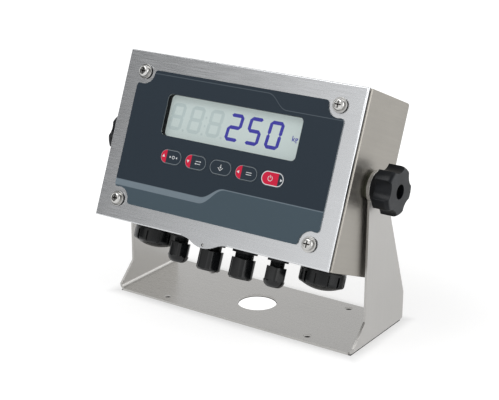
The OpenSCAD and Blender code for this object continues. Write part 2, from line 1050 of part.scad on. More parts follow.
module gland_locknuts() {
    color([0.14, 0.14, 0.15])
        for (i = [0:3])
            at_gland(i)
                difference() {
                    hex_prism(2 * (gland_thread_r(i) + locknut_rim), inner_floor_z,
                        inner_floor_z + locknut_t);
                    translate([0, 0, inner_floor_z - over])
                        cylinder(h = locknut_t + 2 * over, r = gland_thread_r(i) + thread_gap);
                }
}

// Ports
module at_port(s) {
    in_box()
        translate([s * port_x, port_depth, 0])
            children();
}

module port_body(s) {
    color([0.10, 0.11, 0.12])
        at_port(s)
            difference() {
                union() {
                    tube(port_r, 0, port_flange_z, floor_z);
                    tube(port_thread_r, 0, port_end_z, inner_floor_z + port_stem_l);
                }
                translate([0, 0, port_end_z - over])
                    cylinder(h = inner_floor_z + port_stem_l - port_end_z + 2 * over,
                        r = port_thread_r - port_wall);
                ring_groove(port_thread_r);
            }
}

module port_cap(s) {
    color([0.12, 0.13, 0.14])
        at_port(s)
            difference() {
                rotate_extrude()
                    polygon(concat(
                        [[0, cap_end_z]],
                        arc([port_r - cap_edge_r, cap_end_z + cap_edge_r], cap_edge_r,
                            270, 360, 6),
                        [[port_r, cap_top_z], [0, cap_top_z]]
                    ));
                translate([0, 0, cap_floor_z])
                    cylinder(h = cap_h, r = port_thread_r + thread_gap);
                for (i = [0:cap_grooves - 1])
                    rotate([0, 0, cap_turn + 360 * i / cap_grooves])
                        translate([port_r - groove_depth, -groove_w / 2, cap_end_z - over])
                            cube([groove_depth + over, groove_w, cap_h - cap_rim_h + over]);
            }
}

module cap_seal(s) {
    color([0.30, 0.10, 0.08])
        at_port(s)
            tube(port_thread_r - thread_gap, port_thread_r - cap_seal_w, cap_seal_z,
                cap_seal_top_z);
}

module port_body_left() { port_body(-1); }
module port_body_right() { port_body(1); }
module port_cap_left() { port_cap(-1); }
module port_cap_right() { port_cap(1); }
module cap_seal_left() { cap_seal(-1); }
module cap_seal_right() { cap_seal(1); }

module port_sockets() {
    bore = port_thread_r - port_wall;
    socket_end = inner_floor_z + port_stem_l - port_socket_l;
    color([0.55, 0.56, 0.57])
        for (s = [-1, 1])
            at_port(s)
                difference() {
                    tube(bore, 0, socket_end, socket_end + port_socket_l);
                    translate([-socket_w / 2, -socket_h / 2, socket_end - over])
                        cube([socket_w, socket_h, socket_depth + over]);
                }
}

module port_locknuts() {
    color([0.14, 0.14, 0.15])
        for (s = [-1, 1])
            at_port(s)
                difference() {
                    hex_prism(2 * (port_thread_r + locknut_rim), inner_floor_z,
                        inner_floor_z + locknut_t);
                    translate([0, 0, inner_floor_z - over])
                        cylinder(h = locknut_t + 2 * over, r = port_thread_r + thread_gap);
                }
}

// Pivot and knobs, on side s, with z running outwards from the middle of the box
module at_pivot(s) {
    in_box()
        translate([0, pivot_depth, 0])
            outward(s)
                children();
}

module pivot_stud(s) {
    color([0.78, 0.78, 0.76])
        at_pivot(s) {
            tube(stud_r, 0, half_w - box_t - stud_head_t, stud_end_x);
            tube(stud_head_r, 0, half_w - box_t - stud_head_t, half_w - box_t);
        }
}

module pivot_spacer(s) {
    color([0.70, 0.74, 0.70])
        at_pivot(s)
            tube(spacer_r, stud_r + thread_gap, half_w, arm_inner_x - slide_gap);
}

module knob_washer(s) {
    color([0.80, 0.80, 0.79])
        at_pivot(s)
            tube(knob_foot_r, stud_r + thread_gap, knob_washer_x,
                knob_washer_x + knob_washer_t);
}

// A round foot, then lobes parted by round hollows, with a rounded rim
module knob(s) {
    hollow_at = knob_hollow_r + hollow_arc_r;
    body_x = knob_foot_x + (s > 0 ? right_foot_l : left_foot_l);
    face_x = body_x + knob_body_l;
    turn = s > 0 ? right_knob_turn : left_knob_turn;
    drop = knob_r - knob_face_r;
    color([0.13, 0.14, 0.16])
        at_pivot(s)
            difference() {
                union() {
                    tube(knob_foot_r, 0, knob_foot_x, body_x + knob_body_lap);
                    rotate([0, 0, s * (90 + turn)])
                        difference() {
                            rotate_extrude()
                                polygon(concat(
                                    [[0, body_x], [knob_r, body_x]],
                                    [for (i = [0:6])
                                        [knob_face_r + drop * cos(15 * i),
                                            face_x - knob_edge_r + knob_edge_r * sin(15 * i)]],
                                    [[0, face_x]]
                                ));
                            for (i = [0:knob_lobes - 1])
                                rotate([0, 0, 360 * (i + 0.5) / knob_lobes])
                                    translate([hollow_at, 0, body_x - over])
                                        cylinder(h = knob_body_l + 2 * over, r = hollow_arc_r);
                        }
                }
                translate([0, 0, knob_foot_x - over])
                    cylinder(h = face_x - knob_foot_x + 2 * over, r = knob_hole_r);
            }
}

module knob_insert(s) {
    color([0.72, 0.60, 0.30])
        at_pivot(s)
            tube(knob_hole_r, stud_r + thread_gap, knob_foot_x, knob_foot_x + insert_l);
}

module pivot_stud_left() { pivot_stud(-1); }
module pivot_stud_right() { pivot_stud(1); }
module pivot_spacer_left() { pivot_spacer(-1); }
module pivot_spacer_right() { pivot_spacer(1); }
module knob_washer_left() { knob_washer(-1); }
module knob_washer_right() { knob_washer(1); }
module knob_left() { knob(-1); }
module knob_right() { knob(1); }
module knob_insert_left() { knob_insert(-1); }
module knob_insert_right() { knob_insert(1); }

stand_bracket();
box_shell();
front_cover();
cover_gasket();
cover_screws();
cover_washers();
washer_seals();
cover_nuts();
overlay();
membrane_circuit();
snap_domes();
key_up();
key_down();
key_plain();
key_left();
key_power();
window_lens();
display_frame();
display_glass();
backlight();
display_board();
display_posts();
board_screws();
main_board();
main_posts();
power_module();
terminal_blocks();
ribbon_headers();
ribbon_cable();
gland_body_1();
gland_body_2();
gland_body_3();
gland_body_4();
gland_nut_1();
gland_nut_2();
gland_nut_3();
gland_nut_4();
gland_seals();
sealing_rings();
gland_locknuts();
port_body_left();
port_body_right();
port_cap_left();
port_cap_right();
cap_seal_left();
cap_seal_right();
port_sockets();
port_locknuts();
pivot_stud_left();
pivot_stud_right();
pivot_spacer_left();
pivot_spacer_right();
knob_washer_left();
knob_washer_right();
knob_left();
knob_right();
knob_insert_left();
knob_insert_right();
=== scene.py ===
import json
import math

import bmesh
import bpy
from mathutils import Matrix, Vector

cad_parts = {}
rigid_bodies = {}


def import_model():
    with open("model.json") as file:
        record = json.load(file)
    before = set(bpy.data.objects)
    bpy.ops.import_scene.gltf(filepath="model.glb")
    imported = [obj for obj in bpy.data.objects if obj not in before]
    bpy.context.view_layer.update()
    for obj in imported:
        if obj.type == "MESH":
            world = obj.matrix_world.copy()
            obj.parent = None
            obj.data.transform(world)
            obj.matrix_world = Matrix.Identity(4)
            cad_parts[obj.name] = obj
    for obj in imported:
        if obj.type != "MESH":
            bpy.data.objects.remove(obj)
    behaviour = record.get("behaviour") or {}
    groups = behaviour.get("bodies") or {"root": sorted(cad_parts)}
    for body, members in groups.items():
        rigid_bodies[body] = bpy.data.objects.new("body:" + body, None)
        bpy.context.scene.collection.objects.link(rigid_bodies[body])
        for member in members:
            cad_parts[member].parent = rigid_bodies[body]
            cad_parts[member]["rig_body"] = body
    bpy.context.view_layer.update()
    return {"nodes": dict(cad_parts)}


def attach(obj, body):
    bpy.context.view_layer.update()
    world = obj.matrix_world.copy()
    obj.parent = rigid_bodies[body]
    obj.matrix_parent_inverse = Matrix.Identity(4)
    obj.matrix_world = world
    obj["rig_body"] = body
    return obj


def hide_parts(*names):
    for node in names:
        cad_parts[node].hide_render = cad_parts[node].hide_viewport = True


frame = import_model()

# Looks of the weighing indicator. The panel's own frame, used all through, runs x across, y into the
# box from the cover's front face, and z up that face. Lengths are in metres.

MM = 0.001
IMAGE_WIDTH = 499
SENSOR_WIDTH = 36.0
CLIP_START = 0.01

# Places taken from the part's sizes
TILT = math.radians(22.4)
PIVOT = Vector((0.0, -14.1 * MM, 140.5 * MM))
PIVOT_DEPTH = 40.7 * MM
KEY_FRONT = -1.25 * MM
KEY_HEIGHT = 12.5 * MM
KEY_WIDTH = 22.2 * MM
KEY_PITCH = 26.1 * MM
KEY_ROW_Z = -12.0 * MM
KEY_PRINT_INSET = 0.35 * MM
LEFT_FIELD = 6.3 * MM
RIGHT_FIELD = 5.6 * MM
DISPLAY_FRONT = 5.4 * MM
WINDOW_Z = 23.7 * MM
BOX_BOTTOM = -75.25 * MM
GLAND_FLANGE = 3.5 * MM
THREAD_PITCH = 1.5 * MM
BASE_HALF_WIDTH = 123.3 * MM
BASE_HALF_DEPTH = 44.2 * MM
PASS_HOLE_RADIUS = 17.5 * MM
BOX_SIDE = 119.0 * MM
STAND_SIDE = 122.5 * MM
TAB_HOLE = (-1.5 * MM, -78.75 * MM)
TAB_HOLE_RADIUS = 1.2 * MM
SCREW_X = 99.0 * MM
SCREW_Z = 57.15 * MM
RECESS_REACH = 3.15 * MM
PORT_X = 88.3 * MM
PORT_DEPTH = 53.0 * MM
PORT_CAP_END = -89.75 * MM
CROWN_RADIUS = 17.0 * MM
CROWN_HEIGHT = 4.2 * MM
CROWN_SEAT = 0.2 * MM

# The overlay's curves: their height at the left and at the right, and where their step starts and ends
STRIPE_TOP = (-39.8 * MM, -29.2 * MM, -15.8 * MM, 9.5 * MM)
STRIPE_FOOT = (-45.3 * MM, -29.9 * MM, -16.0 * MM, 10.8 * MM)
TOP_LINE = (56.9 * MM, 45.2 * MM, 29.0 * MM, 52.5 * MM)

# Depths between which a colour turns dark with painted shade
RIM_SHADOW = (1.3 * MM, 2.1 * MM)
MOUTH_SHADOW = (3.4 * MM, 4.2 * MM)
RECESS_SHADE_DEPTHS = (-5.2 * MM, -4.3 * MM)

PANEL_TO_WORLD = (
    Matrix.Translation(PIVOT)
    @ Matrix.Rotation(-TILT, 4, "X")
    @ Matrix.Translation((0.0, -PIVOT_DEPTH, 0.0))
)

# Colours, as scene-linear values
STEEL_COVER = (0.61, 0.62, 0.635)
STEEL_BOX = (0.345, 0.328, 0.298)
STEEL_STAND = (0.46, 0.452, 0.438)
STEEL_FASTENER = (0.58, 0.575, 0.56)
# The dark colour of painted shade in joints, recesses and the sealing hole
PAINTED_SHADE_DARK = (0.035, 0.032, 0.030)
# The pivot spacers' steel, darkened as painted shade for the dark gap between box and arm
SPACER_SHADED = (0.085, 0.090, 0.068)
BRASS = (0.60, 0.46, 0.20)
FILM_DARK = (0.017, 0.029, 0.043)
FILM_LOWER = (0.062, 0.094, 0.118)
FILM_STRIPE = (0.195, 0.245, 0.285)
FILM_LINE = (0.085, 0.108, 0.130)
PRINT_WHITE = (0.80, 0.82, 0.84)
PRINT_GREY = (0.30, 0.34, 0.37)
PRINT_RED = (0.70, 0.012, 0.055)
LCD_PALE = (0.42, 0.48, 0.47)
LCD_GHOST = (0.352, 0.415, 0.412)
LCD_LIT = (0.038, 0.036, 0.26)
BACKLIGHT_LEVEL = 0.50
BACKLIGHT_TINT = 1.28
NYLON_BLACK = (0.005, 0.006, 0.007)
KNOB_SIDE = (0.004, 0.005, 0.007)
# The outer face's paler colour: partly its satin texture, partly a painted sheen from the side light
KNOB_FACE = (0.036, 0.038, 0.041)
RUBBER_BLACK = (0.012, 0.012, 0.012)
CAP_SEAL_RED = (0.16, 0.03, 0.02)
FRAME_BLACK = (0.006, 0.006, 0.007)
BOARD_GREEN = (0.02, 0.12, 0.05)
MODULE_BLACK = (0.03, 0.03, 0.033)
TERMINAL_GREEN = (0.04, 0.24, 0.07)
RIBBON_GREY = (0.33, 0.35, 0.37)
BACKLIGHT_WHITE = (0.80, 0.84, 0.82)
CIRCUIT_GREY = (0.30, 0.33, 0.35)
SOCKET_TIN = (0.5, 0.51, 0.52)


# Materials

# Brushed steel: streaks along and across the grain, each by how fine and how broken up they are, and
# faint clouds over them, with how much each of them counts
STREAKS_PER_METRE = (12.0, 520.0)
FINE_STREAKS = (3.0, 4.0)
WIDE_STREAKS = (0.9, 2.0)
CLOUDS_PER_METRE = (9.0, 22.0, 22.0)
FINE_WEIGHT = 0.9
WIDE_WEIGHT = 0.5
CLOUD_WEIGHT = 0.6
TONE_REACH = 1.8
BRUSHED_DEPTH = 0.008 * MM
SIDE_FADE = 0.6 * MM

# The other finishes, in grains or patches to the metre, and how deep their relief is
SCRATCHES_PER_METRE = 2600.0
SCRATCH_DEPTH = 0.006 * MM
STAINS_PER_METRE = 180.0
MOULDED_PER_METRE = 2400.0
MOULDED_DEPTH = 0.03 * MM
POLISHED_DEPTH = 0.005 * MM
HANDLED_PER_METRE = 90.0
THREAD_RELIEF = 8.0
THREAD_DEPTH = 0.04 * MM
WORN_PER_METRE = 110.0
KNOB_PER_METRE = 1500.0
KNOB_DEPTH = 0.05 * MM
RUBBER_PER_METRE = 1500.0
RUBBER_DEPTH = 0.04 * MM
FILM_PER_METRE = 3200.0
FILM_DEPTH = 0.015 * MM
INK_PER_METRE = 2600.0
DISPLAY_PER_METRE = 1300.0
BACKLIGHT_PER_METRE = (9.0, 9.0, 26.0)
SMEARS_PER_METRE = 60.0
TRACKS_PER_METRE = 160.0
BOARD_PER_METRE = 1500.0
BOARD_DEPTH = 0.03 * MM

# How far edges are softened: on the overlay, on the keys, along the top line, and at the painted shade
# in the sealing hole
FILM_EDGE = 0.25 * MM
KEY_EDGE = 0.12 * MM
TOP_LINE_EDGE = (0.15 * MM, 0.45 * MM)
HOLE_EDGE = 0.2 * MM

# The part of a noise that drives a colour or a gloss from end to end
NOISE_REACH = (0.3, 0.7)
PATCH_REACH = (0.35, 0.7)
STREAK_REACH = (0.25, 0.75)
WIDE_REACH = (0.2, 0.8)


class Finish:
    """A procedural material: its shader, and short ways to add the nodes that drive it."""

    def __init__(self, name, color, roughness, metallic=0.0, **constants):
        self.material = bpy.data.materials.new(name)
        self.material.use_nodes = True
        self.tree = self.material.node_tree
        self.shader = self.tree.nodes["Principled BSDF"]
        self.shader.inputs["Base Color"].default_value = (*color, 1.0)
        self.shader.inputs["Roughness"].default_value = roughness
        self.shader.inputs["Metallic"].default_value = metallic
        for socket, value in constants.items():
            self.shader.inputs[socket.replace("_", " ")].default_value = value

    def node(self, kind, **settings):
        made = self.tree.nodes.new(kind)
        for key, value in settings.items():
            setattr(made, key, value)
        return made

    def feed(self, socket, source):
        """Links a socket to another socket, or sets it to a plain value."""
        if isinstance(source, bpy.types.NodeSocket):
            self.tree.links.new(source, socket)
        elif isinstance(source, tuple) and len(source) == 3 and socket.type == "RGBA":
            socket.default_value = (*source, 1.0)
        else:
            socket.default_value = source

    def calc(self, operation, a, b=0.0):
        made = self.node("ShaderNodeMath", operation=operation)
        for socket, source in zip(made.inputs, (a, b)):
            self.feed(socket, source)
        return made.outputs[0]

    def square_sum(self, a, b):
        return self.calc("ADD", self.calc("MULTIPLY", a, a), self.calc("MULTIPLY", b, b))

    def place(self, turn=(0.0, 0.0, 0.0), shift=(0.0, 0.0, 0.0)):
        """Object coordinates, turned and then shifted."""
        made = self.node("ShaderNodeMapping")
        made.inputs["Rotation"].default_value = turn
        made.inputs["Location"].default_value = shift
        coordinates = self.node("ShaderNodeTexCoord")
        self.tree.links.new(coordinates.outputs["Object"], made.inputs["Vector"])
        return made.outputs[0]

    def panel(self):
        """Coordinates in the panel's own frame."""
        back = PANEL_TO_WORLD.inverted()
        return self.place(turn=(TILT, 0.0, 0.0), shift=tuple(back.translation))

    def stretched(self, vector, stretch):
        made = self.node("ShaderNodeVectorMath", operation="MULTIPLY")
        self.feed(made.inputs[0], vector)
        made.inputs[1].default_value = stretch
        return made.outputs[0]

    def parts(self, vector):
        made = self.node("ShaderNodeSeparateXYZ")
        self.feed(made.inputs[0], vector)
        return made.outputs[0], made.outputs[1], made.outputs[2]

    def noise(self, vector, scale, detail=3.0):
        made = self.node("ShaderNodeTexNoise")
        self.feed(made.inputs["Vector"], vector)
        made.inputs["Scale"].default_value = scale
        made.inputs["Detail"].default_value = detail
        return made.outputs["Fac"]

    def span(self, value, low, high, to_low=0.0, to_high=1.0, style="LINEAR"):
        made = self.node("ShaderNodeMapRange", interpolation_type=style)
        for socket, source in zip(made.inputs, (value, low, high, to_low, to_high)):
            self.feed(socket, source)
        return made.outputs[0]

    def blend(self, amount, a, b):
        made = self.node("ShaderNodeMix", data_type="RGBA")
        self.feed(made.inputs["Factor"], amount)
        colors = [s for s in made.inputs if s.type == "RGBA"]
        self.feed(colors[0], a)
        self.feed(colors[1], b)
        return next(s for s in made.outputs if s.type == "RGBA")

    def paint(self, color):
        self.feed(self.shader.inputs["Base Color"], color)

    def gloss(self, roughness):
        self.feed(self.shader.inputs["Roughness"], roughness)

    def relief(self, height, distance, strength):
        made = self.node("ShaderNodeBump")
        made.inputs["Strength"].default_value = strength
        made.inputs["Distance"].default_value = distance
        self.feed(made.inputs["Height"], height)
        self.tree.links.new(made.outputs[0], self.shader.inputs["Normal"])


def shade(color, factor):
    return tuple(min(1.0, c * factor) for c in color)


def brushed_steel(
    name, color, roughness, on_panel=True, side_from=BOX_SIDE, side_grain="z", side_roughness=None,
    contrast=0.09, marks=None
):
    """Steel brushed along x, and along side_grain at its ends, beyond side_from."""
    steel = Finish(name, color, roughness, metallic=1.0)
    where = steel.panel() if on_panel else steel.place()
    long, across = STREAKS_PER_METRE
    along_side = (across, across, long) if side_grain == "z" else (across, long, across)
    outward = steel.calc("ABSOLUTE", steel.parts(where)[0])
    on_side = steel.span(outward, side_from, side_from + SIDE_FADE)

    def streaks(fineness, detail):
        mixed = steel.node("ShaderNodeMix")
        steel.feed(mixed.inputs[0], on_side)
        broad = tuple(v * fineness for v in (long, across, across))
        side = tuple(v * fineness for v in along_side)
        steel.feed(mixed.inputs[2], steel.noise(steel.stretched(where, broad), 1.0, detail=detail))
        steel.feed(mixed.inputs[3], steel.noise(steel.stretched(where, side), 1.0, detail=detail))
        return mixed.outputs[0]

    fine = streaks(*FINE_STREAKS)
    wide = streaks(*WIDE_STREAKS)
    clouds = steel.noise(steel.stretched(where, CLOUDS_PER_METRE), 1.0, detail=3.0)
    fine_tone = steel.span(fine, *STREAK_REACH, -FINE_WEIGHT, FINE_WEIGHT)
    wide_tone = steel.span(wide, *WIDE_REACH, -WIDE_WEIGHT, WIDE_WEIGHT)
    cloud_tone = steel.span(clouds, *STREAK_REACH, -CLOUD_WEIGHT, CLOUD_WEIGHT)
    tone = steel.calc("ADD", steel.calc("ADD", fine_tone, wide_tone), cloud_tone)
    amount = steel.span(tone, -TONE_REACH, TONE_REACH)
    paint = steel.blend(amount, shade(color, 1.0 - contrast), shade(color, 1.0 + contrast))
    even = steel.span(on_side, 0.0, 1.0, roughness, side_roughness or roughness)
    gloss = steel.calc("ADD", even, steel.span(fine, *STREAK_REACH, -0.06, 0.08))
    # marks give where painted shade darkens the steel
    if marks:
        painted_shade_amount = marks(steel)
        paint = steel.blend(painted_shade_amount, paint, PAINTED_SHADE_DARK)
    steel.paint(paint)
    steel.gloss(gloss)
    steel.relief(fine, BRUSHED_DEPTH, 0.6)
    return steel.material


def cover_painted_shade(steel):
    """Painted shade on the cover: darkening at the back of its rim, by the gasket, and on the wall of
    the sealing hole.
    """
    x, depth, z = steel.parts(steel.panel())
    rim = steel.span(depth, *RIM_SHADOW)
    aside = steel.calc("SUBTRACT", x, TAB_HOLE[0])
    above = steel.calc("SUBTRACT", z, TAB_HOLE[1])
    off_middle = steel.calc("SQRT", steel.square_sum(aside, above))
    wall = steel.span(off_middle, TAB_HOLE_RADIUS, TAB_HOLE_RADIUS + HOLE_EDGE, 1.0, 0.0)
    return steel.calc("MAXIMUM", rim, wall)


def mouth_painted_shade(steel):
    """Painted shade on the box: darkening at the edge of its mouth, by the gasket."""
    return steel.span(steel.parts(steel.panel())[1], *MOUTH_SHADOW, 1.0, 0.0)


def screw_painted_shade(steel):
    """Painted shade on a cover screw: darkening down in its cross recess."""
    x, depth, z = steel.parts(steel.panel())
    aside = steel.calc("SUBTRACT", steel.calc("ABSOLUTE", x), SCREW_X)
    above = steel.calc("SUBTRACT", steel.calc("ABSOLUTE", z), SCREW_Z)
    inside = steel.calc("LESS_THAN", steel.square_sum(aside, above), RECESS_REACH**2)
    return steel.calc("MULTIPLY", inside, steel.span(depth, *RECESS_SHADE_DEPTHS))


def knob_finish(name):
    """Black nylon: glossy flanks, and an outer face with a rougher satin finish, painted paler partly
    for its texture and partly as a painted sheen from the side light.
    """
    nylon = Finish(name, KNOB_SIDE, 0.34, Specular_IOR_Level=0.20)
    where = nylon.place()
    facing = nylon.node("ShaderNodeTexCoord")
    outward = nylon.calc("ABSOLUTE", nylon.parts(facing.outputs["Normal"])[0])
    # The face turned to +x or -x is rougher, and paler with painted sheen
    wear_and_sheen = nylon.span(outward, 0.75, 0.97)
    patches = nylon.span(nylon.noise(where, WORN_PER_METRE, detail=3.0), *PATCH_REACH)
    flank = nylon.blend(patches, shade(KNOB_SIDE, 0.7), shade(KNOB_SIDE, 1.6))
    face = nylon.blend(patches, shade(KNOB_FACE, 0.85), shade(KNOB_FACE, 1.15))
    nylon.paint(nylon.blend(wear_and_sheen, flank, face))
    nylon.gloss(nylon.span(wear_and_sheen, 0.0, 1.0, 0.32, 0.55))
    nylon.relief(nylon.noise(where, KNOB_PER_METRE, detail=2.0), KNOB_DEPTH, 0.6)
    return nylon.material


def turned_steel(name, color, roughness=0.24, marks=None):
    """Small turned or plated pieces: fine even scratches and a little staining."""
    steel = Finish(name, color, roughness, metallic=1.0)
    where = steel.place()
    scratches = steel.noise(where, SCRATCHES_PER_METRE, detail=3.0)
    stains = steel.noise(where, STAINS_PER_METRE, detail=2.0)
    paint = steel.blend(steel.span(stains, 0.35, 0.65), shade(color, 0.84), shade(color, 1.06))
    # marks give where painted shade darkens the steel
    if marks:
        paint = steel.blend(marks(steel), paint, PAINTED_SHADE_DARK)
    steel.paint(paint)
    steel.gloss(steel.span(scratches, *NOISE_REACH, roughness - 0.04, roughness + 0.06))
    steel.relief(scratches, SCRATCH_DEPTH, 0.3)
    return steel.material


def moulded(name, color, roughness=0.48, depth=MOULDED_DEPTH, specular=0.3, wear=0.25):
    """Moulded plastic: a fine even grain, with slightly paler patches where it has been handled."""
    plastic = Finish(name, color, roughness, Specular_IOR_Level=specular)
    where = plastic.place()
    texture = plastic.noise(where, MOULDED_PER_METRE, detail=2.0)
    patches = plastic.noise(where, HANDLED_PER_METRE, detail=3.0)
    wear_and_sheen = plastic.span(patches, *PATCH_REACH)
    plastic.paint(plastic.blend(wear_and_sheen, shade(color, 1.0 - wear), shade(color, 1.0 + wear)))
    plastic.gloss(plastic.span(texture, *NOISE_REACH, roughness - 0.06, roughness + 0.06))
    plastic.relief(texture, depth, 0.6)
    return plastic.material


def threaded(name, color):
    """Black nylon whose stems carry a thread, drawn as a relief that runs round them."""
    plastic = Finish(name, color, 0.24, Specular_IOR_Level=0.22)
    where = plastic.panel()
    height = plastic.parts(where)[2]
    turns = plastic.calc("SINE", plastic.calc("MULTIPLY", height, 2.0 * math.pi / THREAD_PITCH))
    texture = plastic.noise(where, MOULDED_PER_METRE, detail=2.0)
    neck = plastic.calc("LESS_THAN", height, BOX_BOTTOM - GLAND_FLANGE)
    relief = plastic.calc("MULTIPLY", plastic.calc("MULTIPLY", turns, neck), THREAD_RELIEF)
    plastic.relief(plastic.calc("ADD", relief, texture), THREAD_DEPTH, 0.8)
    uneven = plastic.span(texture, *NOISE_REACH)
    plastic.paint(plastic.blend(uneven, shade(color, 0.8), shade(color, 1.2)))
    return plastic.material


def soft_rubber(name, color):
    rubber = Finish(name, color, 0.75, Specular_IOR_Level=0.2)
    texture = rubber.noise(rubber.place(), RUBBER_PER_METRE, detail=3.0)
    rubber.paint(rubber.blend(rubber.span(texture, *NOISE_REACH), shade(color, 0.7), shade(color, 1.5)))
    rubber.relief(texture, RUBBER_DEPTH, 0.6)
    return rubber.material


def film_texture(film, where):
    """The fine velvet surface of a polyester overlay."""
    grain = film.noise(where, FILM_PER_METRE, detail=2.0)
    film.gloss(film.span(grain, *NOISE_REACH, 0.46, 0.58))
    film.relief(grain, FILM_DEPTH, 0.5)


def overlay_film():
    """Dark film with a paler lower field, a stripe that steps up in a soft S, and a thin top line."""
    film = Finish("overlay_film", FILM_DARK, 0.52, Specular_IOR_Level=0.25)
    where = film.panel()
    x, _, z = film.parts(where)

    def step_curve(left, right, start, end):
        return film.span(x, start, end, left, right, style="SMOOTHERSTEP")

    def above(curve):
        gap = film.calc("SUBTRACT", z, curve)
        return film.span(gap, -FILM_EDGE, FILM_EDGE)

    stripe_top = above(step_curve(*STRIPE_TOP))
    stripe_low = above(step_curve(*STRIPE_FOOT))
    field = film.blend(stripe_low, FILM_LOWER, FILM_STRIPE)
    base = film.blend(stripe_top, field, FILM_DARK)
    top_line = step_curve(*TOP_LINE)
    off_line = film.calc("ABSOLUTE", film.calc("SUBTRACT", z, top_line))
    on_line = film.span(off_line, *TOP_LINE_EDGE, 1.0, 0.0)
    film.paint(film.blend(on_line, base, FILM_LINE))
    film_texture(film, where)
    return film.material


def key_film(name, center_x, left_fill, main_fill, right_fill, outline, outline_width):
    """A key's print: coloured fields parted by upright lines, inside an outline round the pill."""
    film = Finish(name, main_fill, 0.52, Specular_IOR_Level=0.25)
    where = film.panel()
    x, _, z = film.parts(where)
    across = film.calc("SUBTRACT", x, center_x)
    up = film.calc("SUBTRACT", z, KEY_ROW_Z)
    straight = (KEY_WIDTH - KEY_HEIGHT) / 2
    beyond = film.calc("MAXIMUM", film.calc("SUBTRACT", film.calc("ABSOLUTE", across), straight), 0.0)
    reach = film.calc("SQRT", film.square_sum(beyond, up))
    left_line = LEFT_FIELD - KEY_WIDTH / 2
    right_line = KEY_WIDTH / 2 - RIGHT_FIELD
    on_left = film.span(across, left_line - KEY_EDGE, left_line + KEY_EDGE, 1.0, 0.0)
    on_right = film.span(across, right_line - KEY_EDGE, right_line + KEY_EDGE)
    color = film.blend(on_left, main_fill, left_fill)
    color = film.blend(on_right, color, right_fill)
    outer = KEY_HEIGHT / 2 - KEY_PRINT_INSET
    inner = outer - outline_width
    rim = film.span(reach, inner - KEY_EDGE, inner + KEY_EDGE)
    beside = film.span(reach, outer - KEY_EDGE, outer + KEY_EDGE)
    film.paint(film.blend(beside, film.blend(rim, color, outline), FILM_DARK))
    film_texture(film, where)
    return film.material


def display_film(name, color):
    """The pale face of a liquid crystal display, with a faint grain and an uneven backlight."""
    pale = Finish(name, color, 0.30, Specular_IOR_Level=0.3, Emission_Strength=BACKLIGHT_LEVEL)
    pale.shader.inputs["Emission Color"].default_value = (*shade(color, BACKLIGHT_TINT), 1.0)
    where = pale.panel()
    grain = pale.noise(where, DISPLAY_PER_METRE, detail=2.0)
    glow = pale.noise(pale.stretched(where, BACKLIGHT_PER_METRE), 1.0, detail=1.0)
    grain_tone = pale.span(grain, *WIDE_REACH, -0.3, 0.3)
    tone = pale.calc("ADD", grain_tone, pale.span(glow, *NOISE_REACH, -0.4, 0.4))
    pale.paint(pale.blend(pale.span(tone, -0.7, 0.7), shade(color, 0.93), shade(color, 1.07)))
    return pale.material


def clear_window(name):
    clear = Finish(name, (0.01, 0.01, 0.01), 0.06, Alpha=0.04, Specular_IOR_Level=0.3)
    smears = clear.noise(clear.place(), SMEARS_PER_METRE, detail=3.0)
    clear.gloss(clear.span(smears, *NOISE_REACH, 0.04, 0.10))
    return clear.material


def circuit_board(name, color):
    """Solder mask over a faint pattern of tracks."""
    board = Finish(name, color, 0.32)
    where = board.panel()
    tracks = board.node("ShaderNodeTexBrick")
    board.feed(tracks.inputs["Vector"], board.place(turn=(TILT - math.pi / 2, 0.0, 0.0)))
    tracks.inputs["Scale"].default_value = TRACKS_PER_METRE
    tracks.inputs["Mortar Size"].default_value = 0.06
    tracks.inputs["Color1"].default_value = (*shade(color, 0.9), 1.0)
    tracks.inputs["Color2"].default_value = (*shade(color, 1.15), 1.0)
    tracks.inputs["Mortar"].default_value = (*shade(color, 1.8), 1.0)
    board.paint(tracks.outputs["Color"])
    board.relief(board.noise(where, BOARD_PER_METRE), BOARD_DEPTH, 0.4)
    return board.material


def plain_print(name, color, lit=0.0):
    """Printing ink: a nearly flat colour with the film's texture in it, lit from behind by lit."""
    ink = Finish(name, color, 0.5, Specular_IOR_Level=0.25, Emission_Strength=lit)
    ink.shader.inputs["Emission Color"].default_value = (*shade(color, BACKLIGHT_TINT), 1.0)
    grain = ink.noise(ink.place(), INK_PER_METRE, detail=2.0)
    ink.paint(ink.blend(ink.span(grain, *NOISE_REACH), shade(color, 0.94), shade(color, 1.06)))
    ink.relief(grain, FILM_DEPTH, 0.5)
    return ink.material


def dress(node, material):
    """Gives a carried-over CAD node its material."""
    mesh = frame["nodes"][node].data
    mesh.materials.clear()
    mesh.materials.append(material)


# Pieces

MERGE_DISTANCE = 0.002 * MM
FLAT_WITHIN = math.radians(0.6)
HARD_FROM = math.radians(28.0)
ROUND_STEPS = 28
PRINT_THICKNESS = 0.04 * MM


def add_piece(name, shape, material, body):
    """Makes a piece from a bmesh that is already in place, in the world's frame."""
    mesh = bpy.data.meshes.new(name)
    shape.to_mesh(mesh)
    shape.free()
    mesh.materials.append(material)
    piece = bpy.data.objects.new(name, mesh)
    bpy.context.scene.collection.objects.link(piece)
    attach(piece, body)
    return piece


def soften(node, material, width):
    """Replaces a CAD node by a merged copy of it whose hard edges are rounded."""
    source = frame["nodes"][node]
    shape = bmesh.new()
    shape.from_mesh(source.data)
    bmesh.ops.remove_doubles(shape, verts=shape.verts, dist=MERGE_DISTANCE)
    bmesh.ops.dissolve_limit(shape, angle_limit=FLAT_WITHIN, verts=shape.verts, edges=shape.edges)
    for face in shape.faces:
        face.smooth = True
    piece = add_piece(f"{node}_finished", shape, material, source["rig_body"])
    rounding = piece.modifiers.new("edge_rounding", "BEVEL")
    rounding.width = width
    rounding.segments = 2
    rounding.limit_method = "ANGLE"
    rounding.angle_limit = HARD_FROM
    rounding.use_clamp_overlap = True
    flatten = piece.modifiers.new("even_normals", "WEIGHTED_NORMAL")
    flatten.mode = "FACE_AREA"
    flatten.weight = 80
    flatten.keep_sharp = True
    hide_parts(node)


